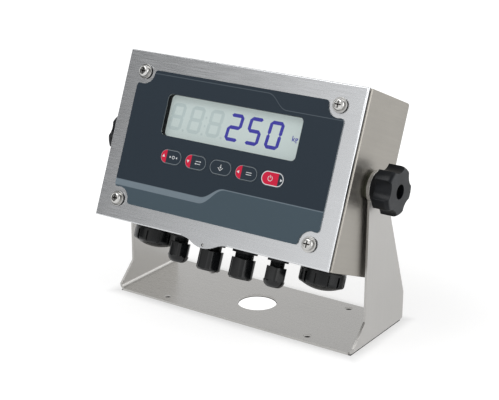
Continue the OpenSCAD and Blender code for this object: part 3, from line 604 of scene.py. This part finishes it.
def bar_shape(length, width, tip=0.0):
    """A flat bar along x. Its corners are cut back by tip, which points its ends."""
    shape = bmesh.new()
    bmesh.ops.create_grid(shape, x_segments=1, y_segments=1, size=0.5)
    bmesh.ops.scale(shape, verts=shape.verts, vec=(length, width, 1.0))
    if tip:
        bmesh.ops.bevel(
            shape, geom=shape.verts[:], offset=tip, affect="VERTICES", segments=1,
            profile=0.5, material=-1,
        )
        bmesh.ops.remove_doubles(shape, verts=shape.verts, dist=MERGE_DISTANCE)
    return shape


def disc_shape(radius, corners=ROUND_STEPS):
    """A flat disc; with three corners it is an arrowhead that points up."""
    shape = bmesh.new()
    bmesh.ops.create_circle(shape, cap_ends=True, segments=corners, radius=radius)
    return shape


def arc_shape(radius, width, start, sweep):
    """A flat ring or open arc, spun from a short line that points away from its middle."""
    shape = bmesh.new()
    near = shape.verts.new((radius - width / 2, 0.0, 0.0))
    far = shape.verts.new((radius + width / 2, 0.0, 0.0))
    line = shape.edges.new((near, far))
    bmesh.ops.rotate(shape, verts=shape.verts, matrix=Matrix.Rotation(math.radians(start), 3, "Z"))
    bmesh.ops.spin(
        shape, geom=[*line.verts, line], axis=(0.0, 0.0, 1.0), angle=math.radians(sweep),
        steps=ROUND_STEPS, use_merge=sweep == 360,
    )
    return shape


def laid(shape, x, up, turn=0.0, slant=0.0):
    """Turns a flat shape, leans it by slant, and moves it to its place on the panel."""
    lean = Matrix.Identity(4)
    lean[0][1] = slant
    place = Matrix.Translation((x, up, 0.0)) @ Matrix.Rotation(math.radians(turn), 4, "Z")
    bmesh.ops.transform(shape, verts=shape.verts, matrix=lean @ place)
    return shape


def printed(name, marks, front, center, material, body):
    """Flat printed marks about a centre on the panel, a hair's breadth proud of what is behind."""
    sheet = bmesh.new()
    for mark in marks:
        scratch = bpy.data.meshes.new("scratch")
        mark.to_mesh(scratch)
        mark.free()
        sheet.from_mesh(scratch)
        bpy.data.meshes.remove(scratch)
    lifted = bmesh.ops.extrude_face_region(sheet, geom=sheet.faces[:])
    raised = [v for v in lifted["geom"] if isinstance(v, bmesh.types.BMVert)]
    bmesh.ops.translate(sheet, verts=raised, vec=(0.0, 0.0, PRINT_THICKNESS))
    bmesh.ops.recalc_face_normals(sheet, faces=sheet.faces)
    facing = Matrix.Translation((center[0], front, center[1])) @ Matrix.Rotation(math.pi / 2, 4, "X")
    bmesh.ops.transform(sheet, matrix=PANEL_TO_WORLD @ facing, verts=sheet.verts)
    add_piece(name, sheet, material, body)


# The display's digits and signs
SEGMENT_WIDTH = 3.1 * MM
SEGMENT_GAP = 0.75 * MM
SEGMENT_LAP = 0.7 * SEGMENT_WIDTH
DIGIT_HEIGHT = 24.0 * MM
DIGIT_WIDTH = 14.2 * MM
DIGIT_PITCH = 20.1 * MM
FIRST_DIGIT_X = -59.7 * MM
DIGIT_SLANT = math.tan(math.radians(5.5))
SHOWN_NUMBER = "250"
DIGIT_PLACES = 6
POINT_RADIUS = 1.1 * MM
POINT_ASIDE = 1.4 * MM
POINT_RISE = 1.0 * MM
COLON_RADIUS = 1.0 * MM
COLON_RISE = 3.6 * MM
UNIT_SIGN_X = 61.0 * MM
UNIT_SIGN_SIZE = 6.6 * MM
UNIT_SIGN_SWELL = 0.08 * MM
SEGMENTS_OF_DIGIT = {"0": "abcdef", "2": "abged", "5": "afgcd", "8": "abcdefg"}


def digit_marks(place, names):
    """The named segments of the digit at one place of the display."""
    half_w = (DIGIT_WIDTH - SEGMENT_WIDTH) / 2
    half_h = (DIGIT_HEIGHT - SEGMENT_WIDTH) / 2
    wide = 2 * half_w - SEGMENT_GAP * 2
    tall = half_h - SEGMENT_GAP * 2
    spots = {
        "a": (0, half_h, wide, 0),
        "g": (0, 0, wide, 0),
        "d": (0, -half_h, wide, 0),
        "f": (-half_w, half_h / 2, tall, 90),
        "b": (half_w, half_h / 2, tall, 90),
        "e": (-half_w, -half_h / 2, tall, 90),
        "c": (half_w, -half_h / 2, tall, 90),
    }
    marks = []
    for name in names:
        x, up, length, turn = spots[name]
        bar = bar_shape(length + SEGMENT_LAP, SEGMENT_WIDTH, SEGMENT_WIDTH / 2)
        segment = laid(laid(bar, x, up, turn), 0.0, 0.0, slant=DIGIT_SLANT)
        marks.append(laid(segment, FIRST_DIGIT_X + place * DIGIT_PITCH, 0.0))
    return marks


# Finishes

stand_steel = brushed_steel(
    "stand_steel", STEEL_STAND, roughness=0.26, on_panel=False, side_from=STAND_SIDE,
    side_roughness=0.38, contrast=0.05,
)
box_steel = brushed_steel(
    "box_steel", STEEL_BOX, roughness=0.38, side_grain="y", contrast=0.10, marks=mouth_painted_shade
)
cover_steel = brushed_steel("cover_steel", STEEL_COVER, roughness=0.26, marks=cover_painted_shade)
fastener_steel = turned_steel("fastener_steel", STEEL_FASTENER)
screw_steel = turned_steel("screw_steel", STEEL_FASTENER, roughness=0.16, marks=screw_painted_shade)
washer_steel = turned_steel("washer_steel", shade(STEEL_FASTENER, 0.85), roughness=0.18)
# The pivot spacers are painted dark, standing for the shade between box and arm
spacer_shaded_steel = turned_steel("spacer_shaded_steel", SPACER_SHADED, roughness=0.36)
insert_brass = turned_steel("insert_brass", BRASS)
gasket_rubber = soft_rubber("gasket_rubber", RUBBER_BLACK)
cap_seal_rubber = soft_rubber("cap_seal_rubber", CAP_SEAL_RED)
gland_nylon = threaded("gland_nylon", NYLON_BLACK)
nut_nylon = moulded("nut_nylon", NYLON_BLACK, roughness=0.12, specular=0.38, depth=POLISHED_DEPTH)
cap_nylon = moulded("cap_nylon", NYLON_BLACK, roughness=0.28, specular=0.28)
knob_nylon = knob_finish("knob_nylon")
display_face = display_film("display_face", LCD_PALE)
ghost_ink = plain_print("ghost_ink", LCD_GHOST, lit=BACKLIGHT_LEVEL)
lit_ink = plain_print("lit_ink", LCD_LIT, lit=BACKLIGHT_LEVEL)
white_ink = plain_print("white_ink", PRINT_WHITE)
window_clear = clear_window("window_clear")
frame_black = moulded("frame_black", FRAME_BLACK, roughness=0.6, specular=0.15)
board_green = circuit_board("board_green", BOARD_GREEN)
module_black = moulded("module_black", MODULE_BLACK)
terminal_green = moulded("terminal_green", TERMINAL_GREEN)
ribbon_grey = moulded("ribbon_grey", RIBBON_GREY)
backlight_white = moulded("backlight_white", BACKLIGHT_WHITE, wear=0.04)
circuit_clear = moulded("circuit_clear", CIRCUIT_GREY, wear=0.1)
socket_plated = turned_steel("socket_plated", SOCKET_TIN)

for node, material in {
    "cover_gasket": gasket_rubber,
    "washer_seals": gasket_rubber,
    "sealing_rings": gasket_rubber,
    "gland_seals": gasket_rubber,
    "cap_seal_left": cap_seal_rubber,
    "cap_seal_right": cap_seal_rubber,
    "cover_nuts": fastener_steel,
    "snap_domes": fastener_steel,
    "display_posts": fastener_steel,
    "board_screws": fastener_steel,
    "main_posts": fastener_steel,
    "pivot_stud_left": fastener_steel,
    "pivot_stud_right": fastener_steel,
    "membrane_circuit": circuit_clear,
    "overlay": overlay_film(),
    "window_lens": window_clear,
    "display_frame": frame_black,
    "display_glass": display_face,
    "backlight": backlight_white,
    "display_board": board_green,
    "main_board": board_green,
    "power_module": module_black,
    "ribbon_headers": module_black,
    "terminal_blocks": terminal_green,
    "ribbon_cable": ribbon_grey,
    "gland_locknuts": nut_nylon,
    "port_locknuts": nut_nylon,
    "port_sockets": socket_plated,
    "knob_insert_left": insert_brass,
    "knob_insert_right": insert_brass,
}.items():
    dress(node, material)

# How far each piece's edges are rounded
for node, material, width in (
    ("stand_bracket", stand_steel, 0.35 * MM),
    ("box_shell", box_steel, 0.30 * MM),
    ("front_cover", cover_steel, 0.25 * MM),
    ("cover_screws", screw_steel, 0.15 * MM),
    ("cover_washers", washer_steel, 0.30 * MM),
    ("pivot_spacer_left", spacer_shaded_steel, 0.25 * MM),
    ("pivot_spacer_right", spacer_shaded_steel, 0.25 * MM),
    ("knob_washer_left", fastener_steel, 0.20 * MM),
    ("knob_washer_right", fastener_steel, 0.20 * MM),
    ("knob_left", knob_nylon, 0.55 * MM),
    ("knob_right", knob_nylon, 0.55 * MM),
    ("port_body_left", cap_nylon, 0.30 * MM),
    ("port_body_right", cap_nylon, 0.30 * MM),
    ("port_cap_left", cap_nylon, 0.30 * MM),
    ("port_cap_right", cap_nylon, 0.30 * MM),
):
    soften(node, material, width)

for gland in (1, 2, 3, 4):
    soften(f"gland_body_{gland}", gland_nylon, 0.30 * MM)
    soften(f"gland_nut_{gland}", nut_nylon, 0.60 * MM)


def port_crown(side, x):
    """The shallow domed end of a port cap: the low cap of a large ball, closed by a flat seat."""
    shape = bmesh.new()
    ball = (CROWN_RADIUS**2 + CROWN_HEIGHT**2) / (2.0 * CROWN_HEIGHT)
    bmesh.ops.create_uvsphere(shape, u_segments=64, v_segments=80, radius=ball)
    bmesh.ops.translate(shape, verts=shape.verts, vec=(0.0, 0.0, ball - CROWN_HEIGHT))
    everything = [*shape.verts, *shape.edges, *shape.faces]
    bmesh.ops.bisect_plane(
        shape, geom=everything, plane_co=(0.0, 0.0, CROWN_SEAT), plane_no=(0.0, 0.0, 1.0),
        clear_outer=True,
    )
    bmesh.ops.holes_fill(shape, edges=[edge for edge in shape.edges if edge.is_boundary], sides=0)
    bmesh.ops.recalc_face_normals(shape, faces=shape.faces)
    for face in shape.faces:
        face.smooth = len(face.verts) <= 4
    place = PANEL_TO_WORLD @ Matrix.Translation((x, PORT_DEPTH, PORT_CAP_END))
    bmesh.ops.transform(shape, matrix=place, verts=shape.verts)
    cap = f"port_cap_{side}"
    add_piece(f"{cap}_crown", shape, cap_nylon, cap)


port_crown("left", -PORT_X)
port_crown("right", PORT_X)

# Keys: left field, middle, right field, outline and its width
KEY_LINE = 0.35 * MM
POWER_LINE = 0.70 * MM
key_prints = {
    "up": (PRINT_RED, FILM_DARK, FILM_DARK, PRINT_GREY, KEY_LINE),
    "down": (PRINT_RED, FILM_DARK, FILM_DARK, PRINT_GREY, KEY_LINE),
    "plain": (FILM_DARK, FILM_DARK, FILM_DARK, PRINT_GREY, KEY_LINE),
    "left": (PRINT_RED, FILM_DARK, FILM_DARK, PRINT_GREY, KEY_LINE),
    "power": (PRINT_RED, PRINT_RED, FILM_DARK, PRINT_WHITE, POWER_LINE),
}
middle_key = len(key_prints) // 2
key_x = {name: (i - middle_key) * KEY_PITCH for i, name in enumerate(key_prints)}
for name, (left, middle, right, outline, width) in key_prints.items():
    dress(f"key_{name}", key_film(f"key_{name}_film", key_x[name], left, middle, right, outline, width))


def key_marks():
    """The marks on the keys: an arrowhead in each coloured field, and a plain sign beside it."""
    stroke = 0.5 * MM
    sign_x, arrow_x = 2.6 * MM, -7.8 * MM
    head, small = 1.6 * MM, 1.15 * MM
    return {
        "up": [
            laid(disc_shape(head, 3), arrow_x, 0, 0),
            laid(disc_shape(small, 3), sign_x - 3.4 * MM, 0, -90),
            laid(disc_shape(small, 3), sign_x + 3.4 * MM, 0, 90),
            laid(arc_shape(1.2 * MM, stroke, 0, 360), sign_x, 0),
        ],
        "down": [
            laid(disc_shape(head, 3), arrow_x, 0, 180),
            laid(bar_shape(4.2 * MM, stroke), sign_x - 0.4 * MM, 1.1 * MM),
            laid(bar_shape(4.2 * MM, stroke), sign_x + 0.4 * MM, -1.1 * MM),
            laid(disc_shape(0.95 * MM, 3), sign_x + 2.3 * MM, 1.1 * MM, -90),
            laid(disc_shape(0.95 * MM, 3), sign_x - 2.3 * MM, -1.1 * MM, 90),
        ],
        "plain": [
            laid(bar_shape(3.6 * MM, stroke), -1.25 * MM, -1.25 * MM, 135),
            laid(bar_shape(3.6 * MM, stroke), 1.25 * MM, -1.25 * MM, 45),
            laid(bar_shape(2.6 * MM, stroke), 0, 1.4 * MM, 90),
            laid(disc_shape(small, 3), 0, 0.2 * MM, 180),
        ],
        "left": [
            laid(disc_shape(head, 3), arrow_x, 0, 90),
            laid(bar_shape(5.4 * MM, stroke), sign_x, 0.9 * MM),
            laid(bar_shape(5.4 * MM, stroke), sign_x, -0.9 * MM),
        ],
        "power": [
            laid(disc_shape(1.5 * MM, 3), 8.3 * MM, 0, -90),
            laid(bar_shape(2.4 * MM, stroke), -2.2 * MM, 1.6 * MM, 90),
            laid(arc_shape(2.1 * MM, stroke, 120, 300), -2.2 * MM, 0),
        ],
    }


for name, marks in key_marks().items():
    printed(
        f"key_{name}_marks", marks, KEY_FRONT, (key_x[name], KEY_ROW_Z), white_ink,
        f"key_{name}",
    )


def display_print():
    """A plain number in lit segments, with the unlit ones showing faintly."""
    first_lit = DIGIT_PLACES - len(SHOWN_NUMBER)
    lit, unlit = [], []
    for place in range(DIGIT_PLACES):
        if place >= first_lit:
            lit += digit_marks(place, SEGMENTS_OF_DIGIT[SHOWN_NUMBER[place - first_lit]])
        else:
            unlit += digit_marks(place, SEGMENTS_OF_DIGIT["8"])
    between_x = FIRST_DIGIT_X + DIGIT_PITCH / 2
    point_x = between_x - POINT_ASIDE
    point_z = POINT_RISE - DIGIT_HEIGHT / 2
    for place in range(first_lit):
        unlit.append(laid(disc_shape(POINT_RADIUS), point_x + place * DIGIT_PITCH, point_z))
    for side in (-1, 1):
        unlit.append(laid(disc_shape(COLON_RADIUS), between_x + DIGIT_PITCH, side * COLON_RISE))
    middle = (0.0, WINDOW_Z)
    printed("display_digits", lit, DISPLAY_FRONT, middle, lit_ink, "enclosure")
    printed("display_unlit_segments", unlit, DISPLAY_FRONT, middle, ghost_ink, "enclosure")


def unit_sign():
    """The unit's letters, made from text and laid on the display."""
    letters = bpy.data.curves.new("unit_sign_text", "FONT")
    letters.body = "kg"
    letters.size = UNIT_SIGN_SIZE
    letters.align_x = "CENTER"
    letters.align_y = "CENTER"
    letters.extrude = PRINT_THICKNESS / 2
    letters.offset = UNIT_SIGN_SWELL
    holder = bpy.data.objects.new("unit_sign_text", letters)
    bpy.context.scene.collection.objects.link(holder)
    mesh = bpy.data.meshes.new_from_object(holder)
    bpy.data.objects.remove(holder)
    shape = bmesh.new()
    shape.from_mesh(mesh)
    spot = Matrix.Translation((UNIT_SIGN_X, DISPLAY_FRONT - PRINT_THICKNESS / 2, WINDOW_Z))
    place = PANEL_TO_WORLD @ spot @ Matrix.Rotation(math.pi / 2, 4, "X")
    bmesh.ops.transform(shape, matrix=place, verts=shape.verts)
    add_piece("display_unit_sign", shape, lit_ink, "enclosure")


display_print()
unit_sign()

# Studio: the floor's reflectance for plain light, and as the camera sees it with a glow near and far
PLAIN_FLOOR = 0.80
SEEN_FLOOR = 0.55
FLOOR_GLOW = (0.62, 0.80)
FLOOR_NEAR_FAR = (0.15, 0.45)
FLOOR_HALF_WIDTH = 6.0
FLOOR_DROP = 0.3 * MM
# Painted contact shadow: from the base's edge out to this distance, the seen glow rises from this share
# to all of it
BASE_CONTACT_SHADOW = (0.0, 14.0 * MM, 0.70, 1.0)

# The floor as pieces mirror it: its glow and its reflectance
MIRRORED_FLOOR = (0.72, 0.40)

# The even light from all sides
EVEN_LIGHT = 0.50

# The studio as pieces mirror it. Headings are counted from the front, and each fall says from where to
# where it goes, and from what level to what level.
DARK_SIDE = math.radians(-53.0)
DARK_REACH = math.radians(12.0)
DARK_FADE = math.radians(12.0)
DARK_LEVEL = 0.13
BRIGHT_LEVEL = 1.36
OVERHEAD = (0.24, 0.62, 1.0, 0.62)
BEHIND = (0.2, 0.7, 1.0, 0.74)
RIGHT_SIDE = (math.radians(-5.0), math.radians(35.0), 1.0, 0.68)
BACK_RIGHT = (math.radians(100.0), math.radians(130.0), 1.0, 2.6)

# Lamps: place, width and height, watts
LAMPS_AIM = (0.0, 0.0, 0.10)
KEY_LIGHT = ((-0.50, -0.75, 1.45), (0.9, 0.9), 8.5)
SIDE_LIGHT = ((1.60, 0.10, 0.60), (1.6, 1.6), 12.0)


def add_camera():
    """The photograph's view: a long lens to the right of the front and a little above."""
    azimuth, elevation, roll = math.radians(34.104), math.radians(19.194), math.radians(0.273)
    target = Vector((-9.227, 0.0, 98.472)) * MM
    distance = 1170.09 * MM
    focal_pixels = 1315.12
    level = math.cos(elevation)
    back = Vector((math.sin(azimuth) * level, -math.cos(azimuth) * level, math.sin(elevation)))
    right = Vector((math.cos(azimuth), math.sin(azimuth), 0.0))
    up = back.cross(right)
    rolled_right = right * math.cos(roll) + up * math.sin(roll)
    rolled_up = up * math.cos(roll) - right * math.sin(roll)
    data = bpy.data.cameras.new("camera")
    data.sensor_width = SENSOR_WIDTH
    data.lens = focal_pixels / IMAGE_WIDTH * SENSOR_WIDTH
    data.clip_start = CLIP_START
    camera = bpy.data.objects.new("camera", data)
    turn = Matrix((rolled_right, rolled_up, back)).transposed()
    camera.matrix_world = Matrix.Translation(target + back * distance) @ turn.to_4x4()
    bpy.context.scene.collection.objects.link(camera)
    bpy.context.scene.camera = camera


def add_softbox(name, place, size, watts):
    """A rectangular lamp that looks at the middle of the object."""
    data = bpy.data.lights.new(name, "AREA")
    data.shape = "RECTANGLE"
    data.size, data.size_y = size
    data.energy = watts
    lamp = bpy.data.objects.new(name, data)
    turn = (Vector(LAMPS_AIM) - Vector(place)).to_track_quat("-Z", "Y")
    lamp.matrix_world = Matrix.Translation(place) @ turn.to_matrix().to_4x4()
    bpy.context.scene.collection.objects.link(lamp)


def stage_feed(tree, socket, source):
    """Links a stage material's socket to another one, or sets it to a plain value or an even grey."""
    if isinstance(source, bpy.types.NodeSocket):
        tree.links.new(source, socket)
    elif socket.type == "RGBA":
        socket.default_value = (source, source, source, 1.0)
    else:
        socket.default_value = source


def stage_math(tree, operation, a, b=0.0):
    made = tree.nodes.new("ShaderNodeMath")
    made.operation = operation
    for socket, source in zip(made.inputs, (a, b)):
        stage_feed(tree, socket, source)
    return made.outputs[0]


def stage_fall(tree, value, low, high, to_low, to_high):
    made = tree.nodes.new("ShaderNodeMapRange")
    made.interpolation_type = "SMOOTHSTEP"
    tree.links.new(value, made.inputs[0])
    for socket, number in zip(made.inputs[1:5], (low, high, to_low, to_high)):
        socket.default_value = number
    return made.outputs[0]


def stage_mix(tree, amount, without, full):
    made = tree.nodes.new("ShaderNodeMixShader")
    for socket, source in zip(made.inputs, (amount, without, full)):
        tree.links.new(source, socket)
    return made.outputs[0]


def white_surface(tree, glow, reflectance):
    """A surface that glows by an amount, and takes light and shadow by its reflectance."""
    total = tree.nodes.new("ShaderNodeAddShader")
    glowing = tree.nodes.new("ShaderNodeEmission")
    lit = tree.nodes.new("ShaderNodeBsdfDiffuse")
    stage_feed(tree, glowing.inputs["Strength"], glow)
    stage_feed(tree, lit.inputs["Color"], reflectance)
    tree.links.new(glowing.outputs[0], total.inputs[0])
    tree.links.new(lit.outputs[0], total.inputs[1])
    return total.outputs[0]


def seen_floor(tree):
    """The seen floor's glow, less along the base as a painted contact shadow and growing far off, and
    its reflectance.

    Both are nothing under the stand's base, a painted shadow there that makes its small holes look
    dark, but for the pass hole.
    """
    where = tree.nodes.new("ShaderNodeTexCoord")
    split = tree.nodes.new("ShaderNodeSeparateXYZ")
    tree.links.new(where.outputs["Object"], split.inputs[0])
    length = tree.nodes.new("ShaderNodeVectorMath")
    length.operation = "LENGTH"
    tree.links.new(where.outputs["Object"], length.inputs[0])
    distance = length.outputs["Value"]
    open_ground = stage_fall(tree, distance, *FLOOR_NEAR_FAR, *FLOOR_GLOW)
    across = stage_math(tree, "ABSOLUTE", split.outputs[0])
    along = stage_math(tree, "ABSOLUTE", split.outputs[1])
    beside = stage_math(tree, "SUBTRACT", across, BASE_HALF_WIDTH)
    before = stage_math(tree, "SUBTRACT", along, BASE_HALF_DEPTH)
    off_base = stage_math(tree, "MAXIMUM", beside, before)
    outside = stage_math(tree, "GREATER_THAN", off_base, 0.0)
    open_ground = stage_math(tree, "MULTIPLY", open_ground, stage_fall(tree, off_base, *BASE_CONTACT_SHADOW))
    in_hole = stage_math(tree, "LESS_THAN", distance, PASS_HOLE_RADIUS)
    glow = stage_math(tree, "MAXIMUM", stage_math(tree, "MULTIPLY", outside, open_ground), in_hole)
    return glow, stage_math(tree, "MULTIPLY", stage_math(tree, "MAXIMUM", outside, in_hole), SEEN_FLOOR)


def add_floor():
    """A white floor that meets the white background, and still takes the shadow."""
    shape = bmesh.new()
    bmesh.ops.create_grid(shape, x_segments=1, y_segments=1, size=FLOOR_HALF_WIDTH)
    bmesh.ops.translate(shape, verts=shape.verts, vec=(0.0, 0.0, -FLOOR_DROP))
    mesh = bpy.data.meshes.new("floor")
    shape.to_mesh(mesh)
    shape.free()
    floor = bpy.data.objects.new("floor", mesh)
    bpy.context.scene.collection.objects.link(floor)
    material = bpy.data.materials.new("floor_white")
    material.use_nodes = True
    tree = material.node_tree
    tree.nodes.clear()
    path = tree.nodes.new("ShaderNodeLightPath")
    plain = white_surface(tree, 0.0, PLAIN_FLOOR)
    mirrored = white_surface(tree, *MIRRORED_FLOOR)
    seen = white_surface(tree, *seen_floor(tree))
    ray = path.outputs
    reflected = stage_math(tree, "MAXIMUM", ray["Is Glossy Ray"], ray["Is Transmission Ray"])
    surface = stage_mix(tree, ray["Is Camera Ray"], stage_mix(tree, reflected, plain, mirrored), seen)
    output = tree.nodes.new("ShaderNodeOutputMaterial")
    tree.links.new(surface, output.inputs[0])
    mesh.materials.append(material)


def add_world():
    """A white studio that, as pieces mirror it, has a dark field to the left of the front."""
    world = bpy.data.worlds.new("studio")
    world.use_nodes = True
    tree = world.node_tree
    tree.nodes.clear()

    def backdrop(strength):
        made = tree.nodes.new("ShaderNodeBackground")
        stage_feed(tree, made.inputs["Color"], 1.0)
        stage_feed(tree, made.inputs["Strength"], strength)
        return made.outputs[0]

    direction = tree.nodes.new("ShaderNodeTexCoord")
    split = tree.nodes.new("ShaderNodeSeparateXYZ")
    tree.links.new(direction.outputs["Generated"], split.inputs[0])
    forward = stage_math(tree, "MULTIPLY", split.outputs[1], -1.0)
    heading = stage_math(tree, "ARCTAN2", split.outputs[0], forward)
    from_dark = stage_math(tree, "ABSOLUTE", stage_math(tree, "SUBTRACT", heading, DARK_SIDE))
    sides = stage_fall(tree, from_dark, DARK_REACH, DARK_REACH + DARK_FADE, DARK_LEVEL, BRIGHT_LEVEL)
    overhead = stage_fall(tree, split.outputs[2], *OVERHEAD)
    ray = tree.nodes.new("ShaderNodeLightPath").outputs
    strength = sides
    falls = (
        overhead,
        stage_fall(tree, split.outputs[1], *BEHIND),
        stage_fall(tree, heading, *RIGHT_SIDE),
        stage_fall(tree, heading, *BACK_RIGHT),
    )
    for fall in falls:
        strength = stage_math(tree, "MULTIPLY", strength, fall)
    mirrored = backdrop(strength)
    lit = stage_mix(tree, ray["Is Glossy Ray"], backdrop(EVEN_LIGHT), mirrored)
    straight = stage_math(tree, "MAXIMUM", ray["Is Camera Ray"], ray["Is Transmission Ray"])
    output = tree.nodes.new("ShaderNodeOutputWorld")
    tree.links.new(stage_mix(tree, straight, lit, backdrop(1.0)), output.inputs[0])
    bpy.context.scene.world = world


add_camera()
add_floor()
add_world()
add_softbox("key_light", *KEY_LIGHT)
add_softbox("side_light", *SIDE_LIGHT)

scene = bpy.context.scene
scene.view_settings.view_transform = "Standard"
